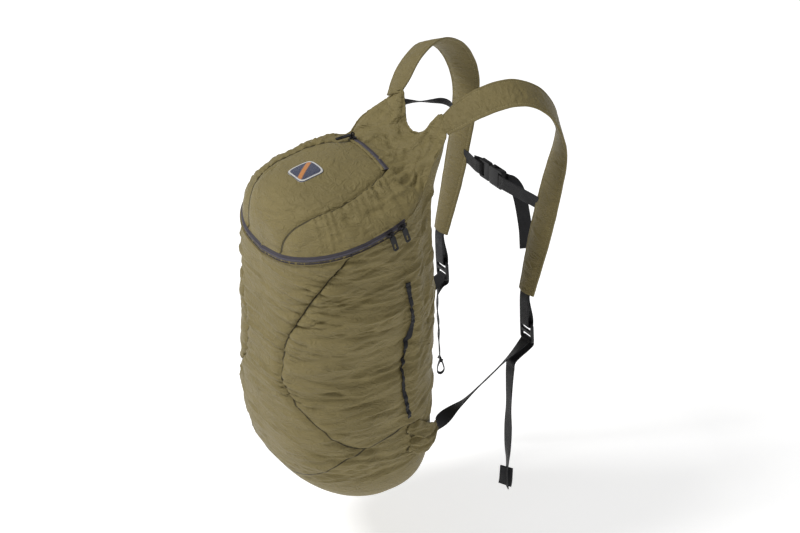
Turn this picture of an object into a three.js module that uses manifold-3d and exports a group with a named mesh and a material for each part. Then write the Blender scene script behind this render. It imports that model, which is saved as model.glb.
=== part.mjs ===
// Packable backpack, shown filled and hung by its shoulder straps, with its main zip closed.
// Millimetres, +Z up. The bag's front faces -Y, the wearer's back is at +Y, and +X is the wearer's right.
// The model is drawn with z = 0 at the bag's base, then moved so that the origin lies between the
// shoulder straps, where they rest on the wearer.
import * as THREE from "three";
import { mergeVertices } from "three/addons/utils/BufferGeometryUtils.js";
import Module from "manifold-3d";

const wasm = await Module();
wasm.setup();

// Driving dimensions of the bag
const bagHeight = 523; // base to the middle of the neckline
const bagWidth = 280; // across the side seams at half height
const bagFrontDepth = 130; // body axis to the front panel
const bagBackDepth = 114; // body axis to the back panel
const bodyAxisY = -88;
const baseRise = 34; // how far the base rises towards the front panel
const sectionRoundness = 2.5; // exponent of the superellipse: 2 is an ellipse, more is squarer
const clothWall = 2; // shell cloth with its seam allowances
const foldDepth = 5;
const seamGap = 0.5; // between two sewn pieces that are separate solids

// Driving dimensions of the lid, its horns and the zips
const zipFrontHeight = 414;
const zipSideHeight = 468;
const notchHeight = 493; // where the horn's outer edge leaves the side of the bag
const lidTopHeight = 515;
const hornHeight = 564; // inner end of the shoulder strap's base seam
const zipWidth = 10;
const zipThickness = 2.4;
const zipProud = 0.8;
const pocketZipLength = 104;
const pocketZipWidth = 9;

// Driving dimensions of the straps and webbing
const strapWidth = 50;
const strapThickness = 9;
const strapSpread = 54; // how far the strap runs outwards from its base seam
const strapReach = 162; // how far it runs back from its base seam
const strapDrop = 280; // how far its lower end hangs below its base seam
const webbingWidth = 20;
const webbingThickness = 1.6;
const haulWidth = 10;
const tapeWidth = 8;
const tapeThickness = 1;

// Driving dimensions of the hard parts
const lockWidth = 28;
const lockHeight = 34;
const lockThickness = 4.4;
const lockBar = 4.6;
const lockDrop = 68; // below the fabric end of the shoulder strap
const buckleLength = 58;
const buckleWidth = 29;
const buckleThickness = 9;
const sliderLength = 11;
const sliderWidth = 8;
const sliderThickness = 3;
const pullLength = 27;
const pullWidth = 8;
const pullThickness = 1.6;

// How finely the cloth, the plates' corners and the webbing's turns are divided
const columns = 56;
const bodyRowsPerSpan = 2;
const wallRows = 8;
const lidSteps = 14;
const cornerSteps = 3;
const turnSteps = 7;

const colour = { olive: "#8b7e58", zip: "#4c4650", webbing: "#15161a", patch: "#1f2a4d" };
const rad = THREE.MathUtils.degToRad;
const vec = (x, y, z) => new THREE.Vector3(x, y, z);
const spread = (from, to, count) =>
  Array.from({ length: count }, (_, i) => from + ((to - from) * i) / (count - 1));

// Smooth value of one column of a table at t, where the table's first column runs upwards.
function columnAt(table, name, t) {
  const key = table.key;
  const rows = table.rows;
  let i = 0;
  while (i < rows.length - 2 && t > rows[i + 1][key]) i += 1;
  const slope = (a, b) => (rows[b][name] - rows[a][name]) / (rows[b][key] - rows[a][key]);
  const span = rows[i + 1][key] - rows[i][key];
  const u = THREE.MathUtils.clamp((t - rows[i][key]) / span, 0, 1);
  const m0 = i > 0 ? slope(i - 1, i + 1) : slope(i, i + 1);
  const m1 = i < rows.length - 2 ? slope(i, i + 2) : slope(i, i + 1);
  const h = u * u * (3 - 2 * u);
  const start = u * (1 - u) * (1 - u) * span * m0;
  const end = -u * u * (1 - u) * span * m1;
  return rows[i][name] * (1 - h) + rows[i + 1][name] * h + start + end;
}

// A table from its column names and rows of numbers. The first column is its key.
function makeTable(names, rows) {
  return {
    key: names[0],
    rows: rows.map((row) => Object.fromEntries(row.map((value, i) => [names[i], value]))),
  };
}

// The base's rise grows with this power of the way to the front, and ends between these girths.
const riseCurve = { power: 1.5, from: 0.35, to: 0.8 };

// Sections of the bag's body from the middle of its base to its waist. girth runs up the cloth,
// height is a share of bagHeight, and the others are shares of half the width and of the depths.
const bodySections = makeTable(
  ["girth", "height", "width", "front", "back"],
  [
    [0, 0, 0, 0, 0],
    [0.1, 0.002, 0.36, 0.34, 0.38],
    [0.2, 0.012, 0.64, 0.63, 0.66],
    [0.3, 0.05, 0.84, 0.87, 0.85],
    [0.42, 0.13, 0.95, 1.01, 0.94],
    [0.6, 0.27, 1, 1.07, 0.95],
    [0.8, 0.44, 1, 1.045, 0.97],
    [1, 0.6, 1, 1, 1],
  ],
);

// The seam all round under the lid, from the middle of the front (-90 degrees) past the side (0) to
// the middle of the neckline (90). across and along are shares of the half width and of the depth on
// that side. low, side and horn say how far the height is on its way from the zip's front to its side
// end, on to the notch, and on to the horn's tip. flare is the share of the wall's height below which
// the cloth doesn't yet lean towards the seam.
const rimTable = makeTable(
  ["angle", "across", "along", "low", "side", "horn", "flare"],
  [
    [-90, 0, -0.985, 0, 0, 0, 0],
    [-72, 0.36, -0.955, 0.12, 0, 0, 0],
    [-52, 0.65, -0.81, 0.3, 0, 0, 0],
    [-30, 0.845, -0.555, 0.5, 0, 0, 0],
    [-10, 0.925, -0.22, 0.72, 0, 0, 0],
    [7, 0.93, 0.17, 1, 0, 0, 0],
    [26, 0.83, 0.44, 1, 0.5, 0, 0.05],
    [41, 0.68, 0.675, 1, 1, 0, 0.2],
    [46, 0.635, 0.82, 1, 1, 0.33, 0.5],
    [52, 0.52, 1.1, 1, 1, 0.69, 0.66],
    [62, 0.357, 1.184, 1, 1, 1, 0.7],
    [70, 0.27, 1.16, 1, 1, 0.8, 0.6],
    [80, 0.14, 1.08, 1, 1, 0.5, 0.5],
    [90, 0, 1.05, 1, 1, 0.42, 0.4],
  ],
);
const zipEndAngle = 7;
const strapBaseAngles = { outer: 52, inner: 62 };

// Main folds of the body's cloth: the angle round the bag, the height as a share of bagHeight, the
// lean of the fold from level in degrees, its half length as a share of bagHeight, its half width as
// a share of bagWidth, and its depth as a share of foldDepth, where a positive one stands out.
const bodyFolds = makeTable(
  ["angle", "height", "lean", "length", "width", "depth"],
  [
    [-24, 0.7, 28, 0.13, 0.05, -0.8],
    [-14, 0.6, 32, 0.16, 0.05, 0.6],
    [-20, 0.48, 36, 0.14, 0.055, -1],
    [-6, 0.37, 30, 0.13, 0.05, 0.7],
    [-12, 0.27, 22, 0.12, 0.05, -0.8],
    [-60, 0.66, 12, 0.07, 0.04, -0.7],
    [-66, 0.52, 4, 0.06, 0.04, -0.7],
    [-64, 0.4, -8, 0.06, 0.04, -0.6],
    [14, 0.55, 84, 0.22, 0.045, 0.8],
    [5, 0.52, 88, 0.3, 0.03, -1],
    [30, 0.72, 70, 0.12, 0.06, -0.8],
    [70, 0.5, 5, 0.08, 0.07, 0.6],
    [78, 0.3, -6, 0.08, 0.07, -0.5],
  ],
);

// The seam of the front panel, an hourglass: angle round the bag at each share of bagHeight.
const frontSeam = makeTable(
  ["height", "angle"],
  [
    [0.1, -30],
    [0.27, -28],
    [0.31, -41],
    [0.36, -58],
    [0.42, -73],
    [0.48, -75],
    [0.56, -72],
    [0.68, -56],
    [0.75, -43],
    [0.84, -24],
  ],
);
const seamDepth = 3;
const seamWidth = 11;
const seamStart = 0.1; // share of bagHeight over which the front seam deepens from its lower end

// The lid's ribs, each from one side's rim over the middle to the other side's, by the angle of their
// ends. middle and top are the middle's place: a share of the depth on that side, and of the way from
// zipFrontHeight to lidTopHeight. squareness is the exponent of the rib's arch, and hollow is how far
// it hangs between its ends instead of standing over them. The last rib's middle is the neckline's,
// and a hollow rib's height follows the neckline instead of lidTopHeight.
const lidRibs = makeTable(
  ["angle", "middle", "top", "squareness", "hollow"],
  [
    [-90, -0.982, 0.045, 2.2, 0],
    [-81, -0.971, 0.35, 2.1, 0],
    [-72, -0.95, 0.495, 2, 0],
    [-52, -0.81, 0.78, 1.75, 0],
    [-30, -0.554, 0.94, 1.65, 0],
    [-10, -0.22, 1, 1.65, 0],
    [7, 0.158, 1.01, 1.7, 0],
    [26, 0.404, 0.985, 1.7, 0.1],
    [41, 0.596, 0.97, 1.7, 0.6],
    [46, 0.684, 0.97, 1.7, 0.85],
    [52, 0.772, 0.975, 1.7, 1],
    [62, 0.877, 1, 1.7, 1],
    [70, 0.947, 1.025, 1.7, 1],
    [80, 1.009, 1.055, 1.7, 1],
    [90, 1.05, 1.077, 1.7, 1],
  ],
);

// The seam of the lid's middle panel: its half width as a share of half bagWidth, by rib.
const lidSeam = makeTable(
  ["angle", "across"],
  [
    [-90, 0.21],
    [-76, 0.3],
    [-52, 0.44],
    [-30, 0.54],
    [-20, 0.57],
    [-10, 0.56],
    [7, 0.47],
    [20, 0.385],
    [26, 0.36],
  ],
);
const lidSeamDepth = 1.5;
const lidSeamEnd = { from: 24, to: 34 }; // the ribs between which it runs out at the back

// Folds of the lid, seen from above: their place as shares of half bagWidth and of the depth on that
// side, the lean from level, half length and half width as shares of bagWidth, and depth as a share
// of foldDepth.
const lidFolds = makeTable(
  ["across", "along", "lean", "length", "width", "depth"],
  [
    [0.56, 0.84, 75, 0.093, 0.03, 0.5],
    [0.48, 0.89, 78, 0.107, 0.025, -0.4],
    [0.63, 0.58, 70, 0.086, 0.025, -0.4],
    [0.7, 0.4, 80, 0.079, 0.028, 0.3],
    [0.43, 0.67, 66, 0.086, 0.03, 0.3],
    [0.29, 0.81, 55, 0.093, 0.03, -0.3],
  ],
);

// The angle of column j, and the same angle brought into the tables' half, -90 to 90 degrees.
const angleOf = (j) => -90 + (360 * j) / columns;
function fold(angle) {
  const turned = THREE.MathUtils.euclideanModulo(angle + 90, 360) - 90;
  return turned > 90 ? { angle: 180 - turned, side: -1 } : { angle: turned, side: 1 };
}

// A point of a superellipse with the given half sizes round the body's axis.
function sectionPoint(angle, halfWidth, front, back, z) {
  const bend = (value) => Math.sign(value) * Math.abs(value) ** (2 / sectionRoundness);
  const c = bend(Math.cos(rad(angle)));
  const s = bend(Math.sin(rad(angle)));
  return vec(halfWidth * c, bodyAxisY + (s < 0 ? front : back) * s, z);
}

function rimPoint(angle) {
  const at = fold(angle);
  const along = columnAt(rimTable, "along", at.angle);
  const depth = along < 0 ? bagFrontDepth : bagBackDepth;
  return vec(
    (at.side * columnAt(rimTable, "across", at.angle) * bagWidth) / 2,
    bodyAxisY + along * depth,
    zipFrontHeight +
      columnAt(rimTable, "low", at.angle) * (zipSideHeight - zipFrontHeight) +
      columnAt(rimTable, "side", at.angle) * (notchHeight - zipSideHeight) +
      columnAt(rimTable, "horn", at.angle) * (hornHeight - notchHeight),
  );
}

function bodySection(angle, girth) {
  const p = sectionPoint(
    angle,
    (columnAt(bodySections, "width", girth) * bagWidth) / 2,
    columnAt(bodySections, "front", girth) * bagFrontDepth,
    columnAt(bodySections, "back", girth) * bagBackDepth,
    columnAt(bodySections, "height", girth) * bagHeight,
  );
  const forwards = Math.max(0, (bodyAxisY - p.y) / bagFrontDepth);
  const fade = 1 - THREE.MathUtils.smoothstep(girth, riseCurve.from, riseCurve.to);
  p.z += baseRise * forwards ** riseCurve.power * fade;
  return p;
}

// Height of a fold's bump at a place that lies (across, up) millimetres from its middle.
function bump(row, across, up, length, width) {
  const lean = rad(row.lean);
  const u = (across * Math.cos(lean) + up * Math.sin(lean)) / length;
  const v = (up * Math.cos(lean) - across * Math.sin(lean)) / width;
  return row.depth * foldDepth * Math.exp(-u * u - v * v);
}

// How far the cloth of the body stands out or in at an angle and a height.
function bodyRelief(angle, z) {
  const at = fold(angle);
  const arc = (degrees) => rad(degrees) * (bagWidth / 2);
  let out = 0;
  for (const row of bodyFolds.rows)
    out += bump(row, arc(at.angle - row.angle), z - row.height * bagHeight,
      row.length * bagHeight, row.width * bagWidth);
  const lowest = frontSeam.rows[0].height;
  const share = THREE.MathUtils.clamp(z / bagHeight, lowest, frontSeam.rows.at(-1).height);
  const away = arc(at.angle - columnAt(frontSeam, "angle", share)) / seamWidth;
  const ends = THREE.MathUtils.smoothstep(z / bagHeight, lowest, lowest + seamStart);
  return out - seamDepth * ends * Math.exp(-away * away);
}

// How far the cloth of the lid stands out or in, at a point of it and its rib's angle.
function lidRelief(angle, p) {
  const depth = p.y < bodyAxisY ? bagFrontDepth : bagBackDepth;
  let out = 0;
  for (const row of lidFolds.rows)
    out += bump(row, Math.abs(p.x) - (row.across * bagWidth) / 2, p.y - bodyAxisY - row.along * depth,
      row.length * bagWidth, row.width * bagWidth);
  const away = (Math.abs(p.x) - (columnAt(lidSeam, "across", angle) * bagWidth) / 2) / seamWidth;
  const ends = 1 - THREE.MathUtils.smoothstep(angle, lidSeamEnd.from, lidSeamEnd.to);
  return out - lidSeamDepth * ends * Math.exp(-away * away);
}

// The body's folds fade in between two rows over the base, and out over the last rows to the rim.
const foldRows = { from: 2, to: 6, last: 3 };

// The grid of points of the body's outer face: one list of rows, from the base's middle to the rim.
function bodyGrid() {
  const rows = [];
  const spans = bodySections.rows.length - 1;
  for (let i = 0; i < spans * bodyRowsPerSpan; i += 1) {
    const k = Math.floor(i / bodyRowsPerSpan);
    const share = (i % bodyRowsPerSpan) / bodyRowsPerSpan;
    const [from, to] = [bodySections.rows[k].girth, bodySections.rows[k + 1].girth];
    const girth = THREE.MathUtils.lerp(from, to, share);
    rows.push((angle) => bodySection(angle, girth));
  }
  for (let i = 0; i <= wallRows; i += 1) {
    const share = i / wallRows;
    rows.push((angle) => {
      const waist = bodySection(angle, 1);
      const rim = rimPoint(angle);
      const lean = THREE.MathUtils.smoothstep(share, columnAt(rimTable, "flare", fold(angle).angle), 1);
      return vec(
        THREE.MathUtils.lerp(waist.x, rim.x, THREE.MathUtils.smoothstep(share, 0, 1)),
        THREE.MathUtils.lerp(waist.y, rim.y, lean),
        THREE.MathUtils.lerp(waist.z, rim.z, share),
      );
    });
  }
  const grid = rows.map((row) => Array.from({ length: columns }, (_, j) => row(angleOf(j))));
  const last = rows.length - 1;
  return pushed(grid, (j, i) => {
    const overBase = THREE.MathUtils.smoothstep(i, foldRows.from, foldRows.to);
    const belowRim = 1 - THREE.MathUtils.smoothstep(i, last - foldRows.last, last);
    return overBase * belowRim * bodyRelief(angleOf(j), grid[i][j].z);
  });
}

// The lid's rim: the seam, moved up and a little inwards by the opening there.
const lidLean = 0.3;
function lidRimPoint(angle, opening) {
  const rim = rimPoint(angle);
  const inwards = vec(-rim.x, bodyAxisY - rim.y, 0).normalize();
  const up = Math.sqrt(1 - lidLean ** 2) * opening;
  return rim.addScaledVector(inwards, lidLean * opening).add(vec(0, 0, up));
}

// The lid's outer face: ribs from the front to the neckline, each from the wearer's right over the
// middle to the left. All the points of the first rib and of the last one lie in one place.
const plainEdge = 0.1; // share of a rib, next to the rim, over which its folds begin
function lidGrid() {
  const grid = [];
  const neckRise = (rimPoint(90).z - zipFrontHeight) / lidRibs.rows.at(-1).top;
  for (let k = 0; k <= columns / 2; k += 1) {
    const angle = angleOf(k);
    const end = lidRimPoint(angle, rimOpening(k));
    const along = columnAt(lidRibs, "middle", angle);
    const power = columnAt(lidRibs, "squareness", angle);
    const hollow = columnAt(lidRibs, "hollow", angle);
    const rise = THREE.MathUtils.lerp(lidTopHeight - zipFrontHeight, neckRise, hollow);
    const middle = vec(
      0,
      bodyAxisY + along * (along < 0 ? bagFrontDepth : bagBackDepth),
      zipFrontHeight + rise * columnAt(lidRibs, "top", angle),
    );
    grid.push(
      spread(1, -1, lidSteps + 1).map((across) => {
        if (k === 0 || k === columns / 2) return end.clone();
        const x = Math.sin((across * Math.PI) / 2);
        const dome = 1 - Math.max(0, 1 - Math.abs(x) ** power) ** (1 / power);
        return vec(
          end.x * x,
          THREE.MathUtils.lerp(middle.y, end.y, x * x),
          THREE.MathUtils.lerp(middle.z, end.z, THREE.MathUtils.lerp(dome, x * x, hollow)),
        );
      }),
    );
  }
  const normals = ribNormals(grid);
  return grid.map((rib, k) =>
    rib.map((p, i) => {
      if (k === 0 || k === columns / 2 || i === 0 || i === lidSteps) return p;
      const edge = THREE.MathUtils.smoothstep(Math.min(i, lidSteps - i) / lidSteps, 0, plainEdge);
      return p.clone().addScaledVector(normals[k][i], edge * lidRelief(angleOf(k), p));
    }),
  );
}

// Outward normals of the lid's ribs.
function ribNormals(grid) {
  return grid.map((rib, k) =>
    rib.map((_, i) => {
      const inner = Math.min(Math.max(k, 1), grid.length - 2);
      const across = grid[inner][Math.max(i - 1, 0)].clone().sub(grid[inner][Math.min(i + 1, lidSteps)]);
      const back = grid[Math.min(k + 1, grid.length - 1)][i].clone().sub(grid[Math.max(k - 1, 0)][i]);
      return across.cross(back).normalize();
    }),
  );
}

// The lid's cloth: its ribs, the same ribs one wall inside them, and a strip round the rim.
// rimInner holds the rim's inner points by column.
function ribShell(grid, rimInner) {
  const normals = ribNormals(grid);
  const last = grid.length - 1;
  const inner = grid.map((rib, k) =>
    rib.map((p, i) => {
      if (i === 0 || k === 0 || k === last) return rimInner[k];
      if (i === lidSteps) return rimInner[columns - k];
      return p.clone().addScaledVector(normals[k][i], -clothWall);
    }),
  );
  const points = [];
  const faces = [];
  const walls = [grid, inner].map((wall) =>
    wall.map((rib, k) => {
      if (k === 0 || k === last) return Array(lidSteps + 1).fill(points.push(rib[0]) - 1);
      return rib.map((p) => points.push(p) - 1);
    }),
  );
  const quad = (a, b, c, d) => {
    if (a !== b) faces.push([a, b, c]);
    if (c !== d) faces.push([a, c, d]);
  };
  for (let k = 0; k < last; k += 1) {
    for (let i = 0; i < lidSteps; i += 1) {
      quad(walls[0][k][i], walls[0][k][i + 1], walls[0][k + 1][i + 1], walls[0][k + 1][i]);
      quad(walls[1][k][i + 1], walls[1][k][i], walls[1][k + 1][i], walls[1][k + 1][i + 1]);
    }
    for (const [from, to, i] of [[k, k + 1, 0], [k + 1, k, lidSteps]]) {
      const [o, n] = walls;
      faces.push([o[from][i], o[to][i], n[to][i]], [o[from][i], n[to][i], n[from][i]]);
    }
  }
  return solid(points, faces);
}

// Outward normals of a grid whose columns go round and whose rows run along.
function gridNormals(grid) {
  const last = grid.length - 1;
  return grid.map((row, i) =>
    row.map((_, j) => {
      const near = (step) => grid[i][(j + step + columns) % columns];
      const across = near(1).clone().sub(near(-1));
      const inner = Math.min(Math.max(i, 1), last - 1);
      const before = i === 0 ? grid[0][j] : grid[inner - (i === last ? 0 : 1)][j];
      const after = i === last ? grid[last][j] : grid[inner + (i === 0 ? 0 : 1)][j];
      const round = rad(angleOf(j) + 90);
      if (across.length() < 1e-6) across.set(Math.cos(round), Math.sin(round), 0);
      return across.cross(after.clone().sub(before)).normalize();
    }),
  );
}

// The grid again, with each point moved out along its normal by amount(column, row).
function pushed(grid, amount) {
  const normals = gridNormals(grid);
  return grid.map((row, i) =>
    row.map((p, j) => p.clone().addScaledVector(normals[i][j], amount(j, i))),
  );
}

// Geometry of one closed body. The sign of the volume says which way round the faces are listed.
function solid(points, faces) {
  let volume = 0;
  for (const [a, b, c] of faces) volume += points[a].dot(points[b].clone().cross(points[c]));
  const flat = [];
  for (const [a, b, c] of faces)
    for (const i of volume > 0 ? [a, b, c] : [a, c, b])
      flat.push(points[i].x, points[i].y, points[i].z);
  const geometry = new THREE.BufferGeometry();
  geometry.setAttribute("position", new THREE.Float32BufferAttribute(flat, 3));
  geometry.computeVertexNormals();
  return geometry;
}

// A cloth shell: the outer grid, an inner grid one wall inside it, and a strip along the open rim.
// poleRow is the row whose points all lie in one place, and rimInner gives the rim's inner points.
function shell(outer, poleRow, rimInner) {
  const normals = gridNormals(outer);
  const rimRow = poleRow === 0 ? outer.length - 1 : 0;
  const pole = outer[poleRow][0].clone();
  const poleNormal = normals[poleRow].reduce((sum, n) => sum.add(n), vec(0, 0, 0)).normalize();
  const inset = (i, j) => outer[i][j].clone().addScaledVector(normals[i][j], -clothWall);
  const inner = outer.map((row, i) => row.map((_, j) => (i === rimRow ? rimInner[j] : inset(i, j))));
  const points = [];
  const faces = [];
  const add = (p) => points.push(p) - 1;
  const walls = [outer, inner].map((grid, wall) => {
    const middle = add(wall === 0 ? pole : pole.clone().addScaledVector(poleNormal, -clothWall));
    return grid.map((row, i) => row.map((p) => (i === poleRow ? middle : add(p))));
  });
  const quad = (a, b, c, d) => {
    if (a !== b) faces.push([a, b, c]);
    if (c !== d) faces.push([a, c, d]);
  };
  for (let j = 0; j < columns; j += 1) {
    const k = (j + 1) % columns;
    for (let i = 0; i < outer.length - 1; i += 1) {
      const [o, n] = walls;
      quad(o[i][j], o[i][k], o[i + 1][k], o[i + 1][j]);
      quad(n[i][k], n[i][j], n[i + 1][j], n[i + 1][k]);
    }
    const rim = walls.map((wall) => wall[rimRow]);
    if (rimRow > 0) quad(rim[0][j], rim[0][k], rim[1][k], rim[1][j]);
    else quad(rim[0][k], rim[0][j], rim[1][j], rim[1][k]);
  }
  return solid(points, faces);
}

// A solid swept through sections that each list the same number of points round a convex outline.
function loft(sections) {
  const points = sections.flat();
  const n = sections[0].length;
  const faces = [];
  for (let i = 0; i < sections.length - 1; i += 1)
    for (let j = 0; j < n; j += 1) {
      const a = i * n + j;
      const b = i * n + ((j + 1) % n);
      faces.push([a, b, b + n], [a, b + n, a + n]);
    }
  const end = (sections.length - 1) * n;
  for (let j = 1; j < n - 1; j += 1) faces.push([0, j + 1, j], [end, end + j, end + j + 1]);
  return solid(points, faces);
}

// The directions of a band at one of its points: along it, across its width, and out of its face.
// across starts as the wished direction and is turned by twist degrees round the band's own line.
function bandFrame(points, i, wished, twist) {
  const [before, after] = [points[Math.max(i - 1, 0)], points[Math.min(i + 1, points.length - 1)]];
  const along = after.clone().sub(before).normalize();
  const across = wished.clone().addScaledVector(along, -wished.dot(along)).normalize();
  across.applyAxisAngle(along, rad(twist));
  return { along, across, out: along.clone().cross(across) };
}

// A flat band along points, with a rectangular section. wishedAt(t) is the direction across it.
function band(points, width, thickness, wishedAt, twistAt = () => 0) {
  return loft(
    points.map((p, i) => {
      const t = i / (points.length - 1);
      const { across, out } = bandFrame(points, i, wishedAt(t), twistAt(t));
      const corner = (a, b) =>
        p.clone().addScaledVector(across, (a * width) / 2).addScaledVector(out, (b * thickness) / 2);
      return [corner(-1, -1), corner(1, -1), corner(1, 1), corner(-1, 1)];
    }),
  );
}

// A smooth line through points, divided into the given number of steps.
function smoothLine(points, steps) {
  return new THREE.CatmullRomCurve3(points, false, "centripetal").getPoints(steps);
}

function rounded(width, height, radius, PathClass = THREE.Shape) {
  const path = new PathClass();
  const corners = [[1, -1], [1, 1], [-1, 1], [-1, -1]];
  corners.forEach(([sx, sy], i) => {
    const [x, y] = [sx * (width / 2 - radius), sy * (height / 2 - radius)];
    path.absarc(x, y, radius, rad(90 * i - 90), rad(90 * i), false);
  });
  path.closePath();
  return path;
}

function moved(path, x, y) {
  const PathClass = path.constructor;
  return new PathClass(path.getPoints(cornerSteps).map((p) => new THREE.Vector2(p.x + x, p.y + y)));
}

function plate(shape, thickness) {
  const options = { depth: thickness, bevelEnabled: false, curveSegments: cornerSteps };
  return new THREE.ExtrudeGeometry(shape, options).translate(0, 0, -thickness / 2);
}

function toManifold(geometry) {
  const bare = geometry.clone();
  bare.deleteAttribute("normal");
  bare.deleteAttribute("uv");
  const merged = mergeVertices(bare, 1e-3);
  return new wasm.Manifold(
    new wasm.Mesh({
      numProp: 3,
      vertProperties: merged.attributes.position.array,
      triVerts: new Uint32Array(merged.index.array),
    }),
  );
}

function fromManifold(made) {
  const mesh = made.getMesh();
  const points = [];
  for (let i = 0; i < mesh.vertProperties.length; i += mesh.numProp)
    points.push(vec(mesh.vertProperties[i], mesh.vertProperties[i + 1], mesh.vertProperties[i + 2]));
  const faces = [];
  for (let i = 0; i < mesh.triVerts.length; i += 3) faces.push([...mesh.triVerts.slice(i, i + 3)]);
  return solid(points, faces);
}

const group = new THREE.Group();

function addPart(name, geometry, material) {
  const mesh = new THREE.Mesh(geometry, material);
  mesh.name = name;
  group.add(mesh);
  return mesh;
}

// Puts a mesh at a place, with its own x, y and z axes along the given directions.
function setFrame(mesh, place, xAxis, yAxis, zAxis) {
  mesh.quaternion.setFromRotationMatrix(new THREE.Matrix4().makeBasis(xAxis, yAxis, zAxis));
  mesh.position.copy(place);
  return mesh;
}

const finish = (color, roughness) => new THREE.MeshStandardMaterial({ color, roughness });
const cloth = () => finish(colour.olive, 0.7);
const webbingCloth = () => finish(colour.webbing, 0.85);
const hardPlastic = () => finish(colour.webbing, 0.4);
const zipTape = () => finish(colour.zip, 0.6);
const patchCloth = () => finish(colour.patch, 0.8);

// The body and the lid. They part along the rim, with room for the zip round the front and sides.
// Angles between which the two layers' turned edges lie beside the horn's seam, and their distance.
const hornEdge = { from: 38, to: 91, opening: 2.4 };
const rimOpening = (j) => {
  const at = fold(angleOf(j)).angle;
  if (at <= zipEndAngle) return zipWidth / 2 + seamGap;
  return at > hornEdge.from && at < hornEdge.to ? hornEdge.opening : seamGap / 2;
};
const bodyOuter = bodyGrid();
const lidOuter = lidGrid();
const bodyRim = bodyOuter.length - 1;
// The lid's value at column j of the rim, from a grid of its ribs.
const atLidRim = (grid, j) => (j <= columns / 2 ? grid[j][0] : grid[columns - j][lidSteps]);
const lidRimNormals = ribNormals(lidOuter);
const rimNormals = [
  gridNormals(bodyOuter)[bodyRim],
  bodyOuter[bodyRim].map((_, j) => atLidRim(lidRimNormals, j)),
];
const stepBack = (from, to, by) => from.clone().addScaledVector(to.clone().sub(from).normalize(), by);
for (let j = 0; j < columns; j += 1)
  bodyOuter[bodyRim][j] = stepBack(bodyOuter[bodyRim][j], bodyOuter[bodyRim - 1][j], rimOpening(j));
const rimInwards = rimNormals[0].map((n, j) => n.clone().add(rimNormals[1][j]).normalize().negate());
const longestMitre = 2.5;
const rimTurn = (j) => Math.max(-rimInwards[j].dot(rimNormals[0][j]), 1e-3);
const mitre = (j) => Math.min(longestMitre, 1 / rimTurn(j));
const rimWall = (rim) =>
  rim.map((p, j) => p.clone().addScaledVector(rimInwards[j], clothWall * mitre(j)));
const lidRim = bodyOuter[bodyRim].map((_, j) => atLidRim(lidOuter, j));
const bodyMesh = addPart("bag_body", shell(bodyOuter, 0, rimWall(bodyOuter[bodyRim])), cloth());
const lidMesh = addPart("lid", ribShell(lidOuter, rimWall(lidRim)), cloth());

// The main zip fills the opening between the body's rim and the lid's.
const zipColumns = [];
for (let j = -columns / 2; j < columns / 2; j += 1)
  if (fold(angleOf(j)).angle <= zipEndAngle) zipColumns.push((j + columns) % columns);
const zipSections = zipColumns.map((j) => {
  const low = bodyOuter[bodyRim][j];
  const high = lidRim[j];
  const up = high.clone().sub(low).normalize();
  const out = rimInwards[j].clone().negate();
  const corner = (from, along, proud) =>
    from.clone().addScaledVector(up, along).addScaledVector(out, proud);
  return [
    corner(low, seamGap, zipProud),
    corner(high, -seamGap, zipProud),
    corner(high, -seamGap, zipProud - zipThickness),
    corner(low, seamGap, zipProud - zipThickness),
  ];
});
addPart("main_zipper", loft(zipSections), zipTape());

// Where a straight line from a point first meets a mesh.
const ray = new THREE.Raycaster();
function hit(mesh, from, direction) {
  mesh.updateMatrixWorld(true);
  ray.set(from, direction);
  return ray.intersectObject(mesh)[0];
}
const down = vec(0, 0, -1);
const onLid = (x, y) => hit(lidMesh, vec(x, y, 2 * hornHeight), down).point;
const onSide = (side, y, z) => hit(bodyMesh, vec(side * bagWidth, y, z), vec(-side, 0, 0)).point;

// The cloth's place at (a, b), brought out to the proudest of the places within reach round it.
const reachSteps = [-1, -0.5, 0, 0.5, 1];
function proudest(seat, a, b, reach, outwards) {
  const middle = seat(a, b);
  let out = middle.dot(outwards);
  for (const da of reachSteps)
    for (const db of reachSteps)
      out = Math.max(out, seat(a + da * reach, b + db * reach).dot(outwards));
  return middle.addScaledVector(outwards, out - middle.dot(outwards));
}

// A thin piece laid on cloth: a grid of places, each put on the cloth by seat(a, b) and lifted clear.
function laid(across, along, seat, lift, thickness, outwards) {
  const rows = along.map((b) => across.map((a) => seat(a, b)));
  return rows.map((row) => [
    ...row.map((p) => p.clone().addScaledVector(outwards, lift + thickness)),
    ...row.map((p) => p.clone().addScaledVector(outwards, lift)).reverse(),
  ]);
}

// A closed solid from sections whose outline is a thin strip: its caps are ladders of triangles.
function stripLoft(sections) {
  const n = sections[0].length;
  const points = sections.flat();
  const faces = [];
  for (let i = 0; i < sections.length - 1; i += 1)
    for (let j = 0; j < n; j += 1) {
      const a = i * n + j;
      const b = i * n + ((j + 1) % n);
      faces.push([a, b, b + n], [a, b + n, a + n]);
    }
  for (const [start, flip] of [[0, true], [(sections.length - 1) * n, false]])
    for (let j = 0; j < n / 2 - 1; j += 1) {
      const quad = [start + j, start + j + 1, start + n - 2 - j, start + n - 1 - j];
      const [a, b, c, d] = flip ? quad : [...quad].reverse();
      faces.push([a, c, b], [a, d, c]);
    }
  return solid(points, faces);
}

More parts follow.
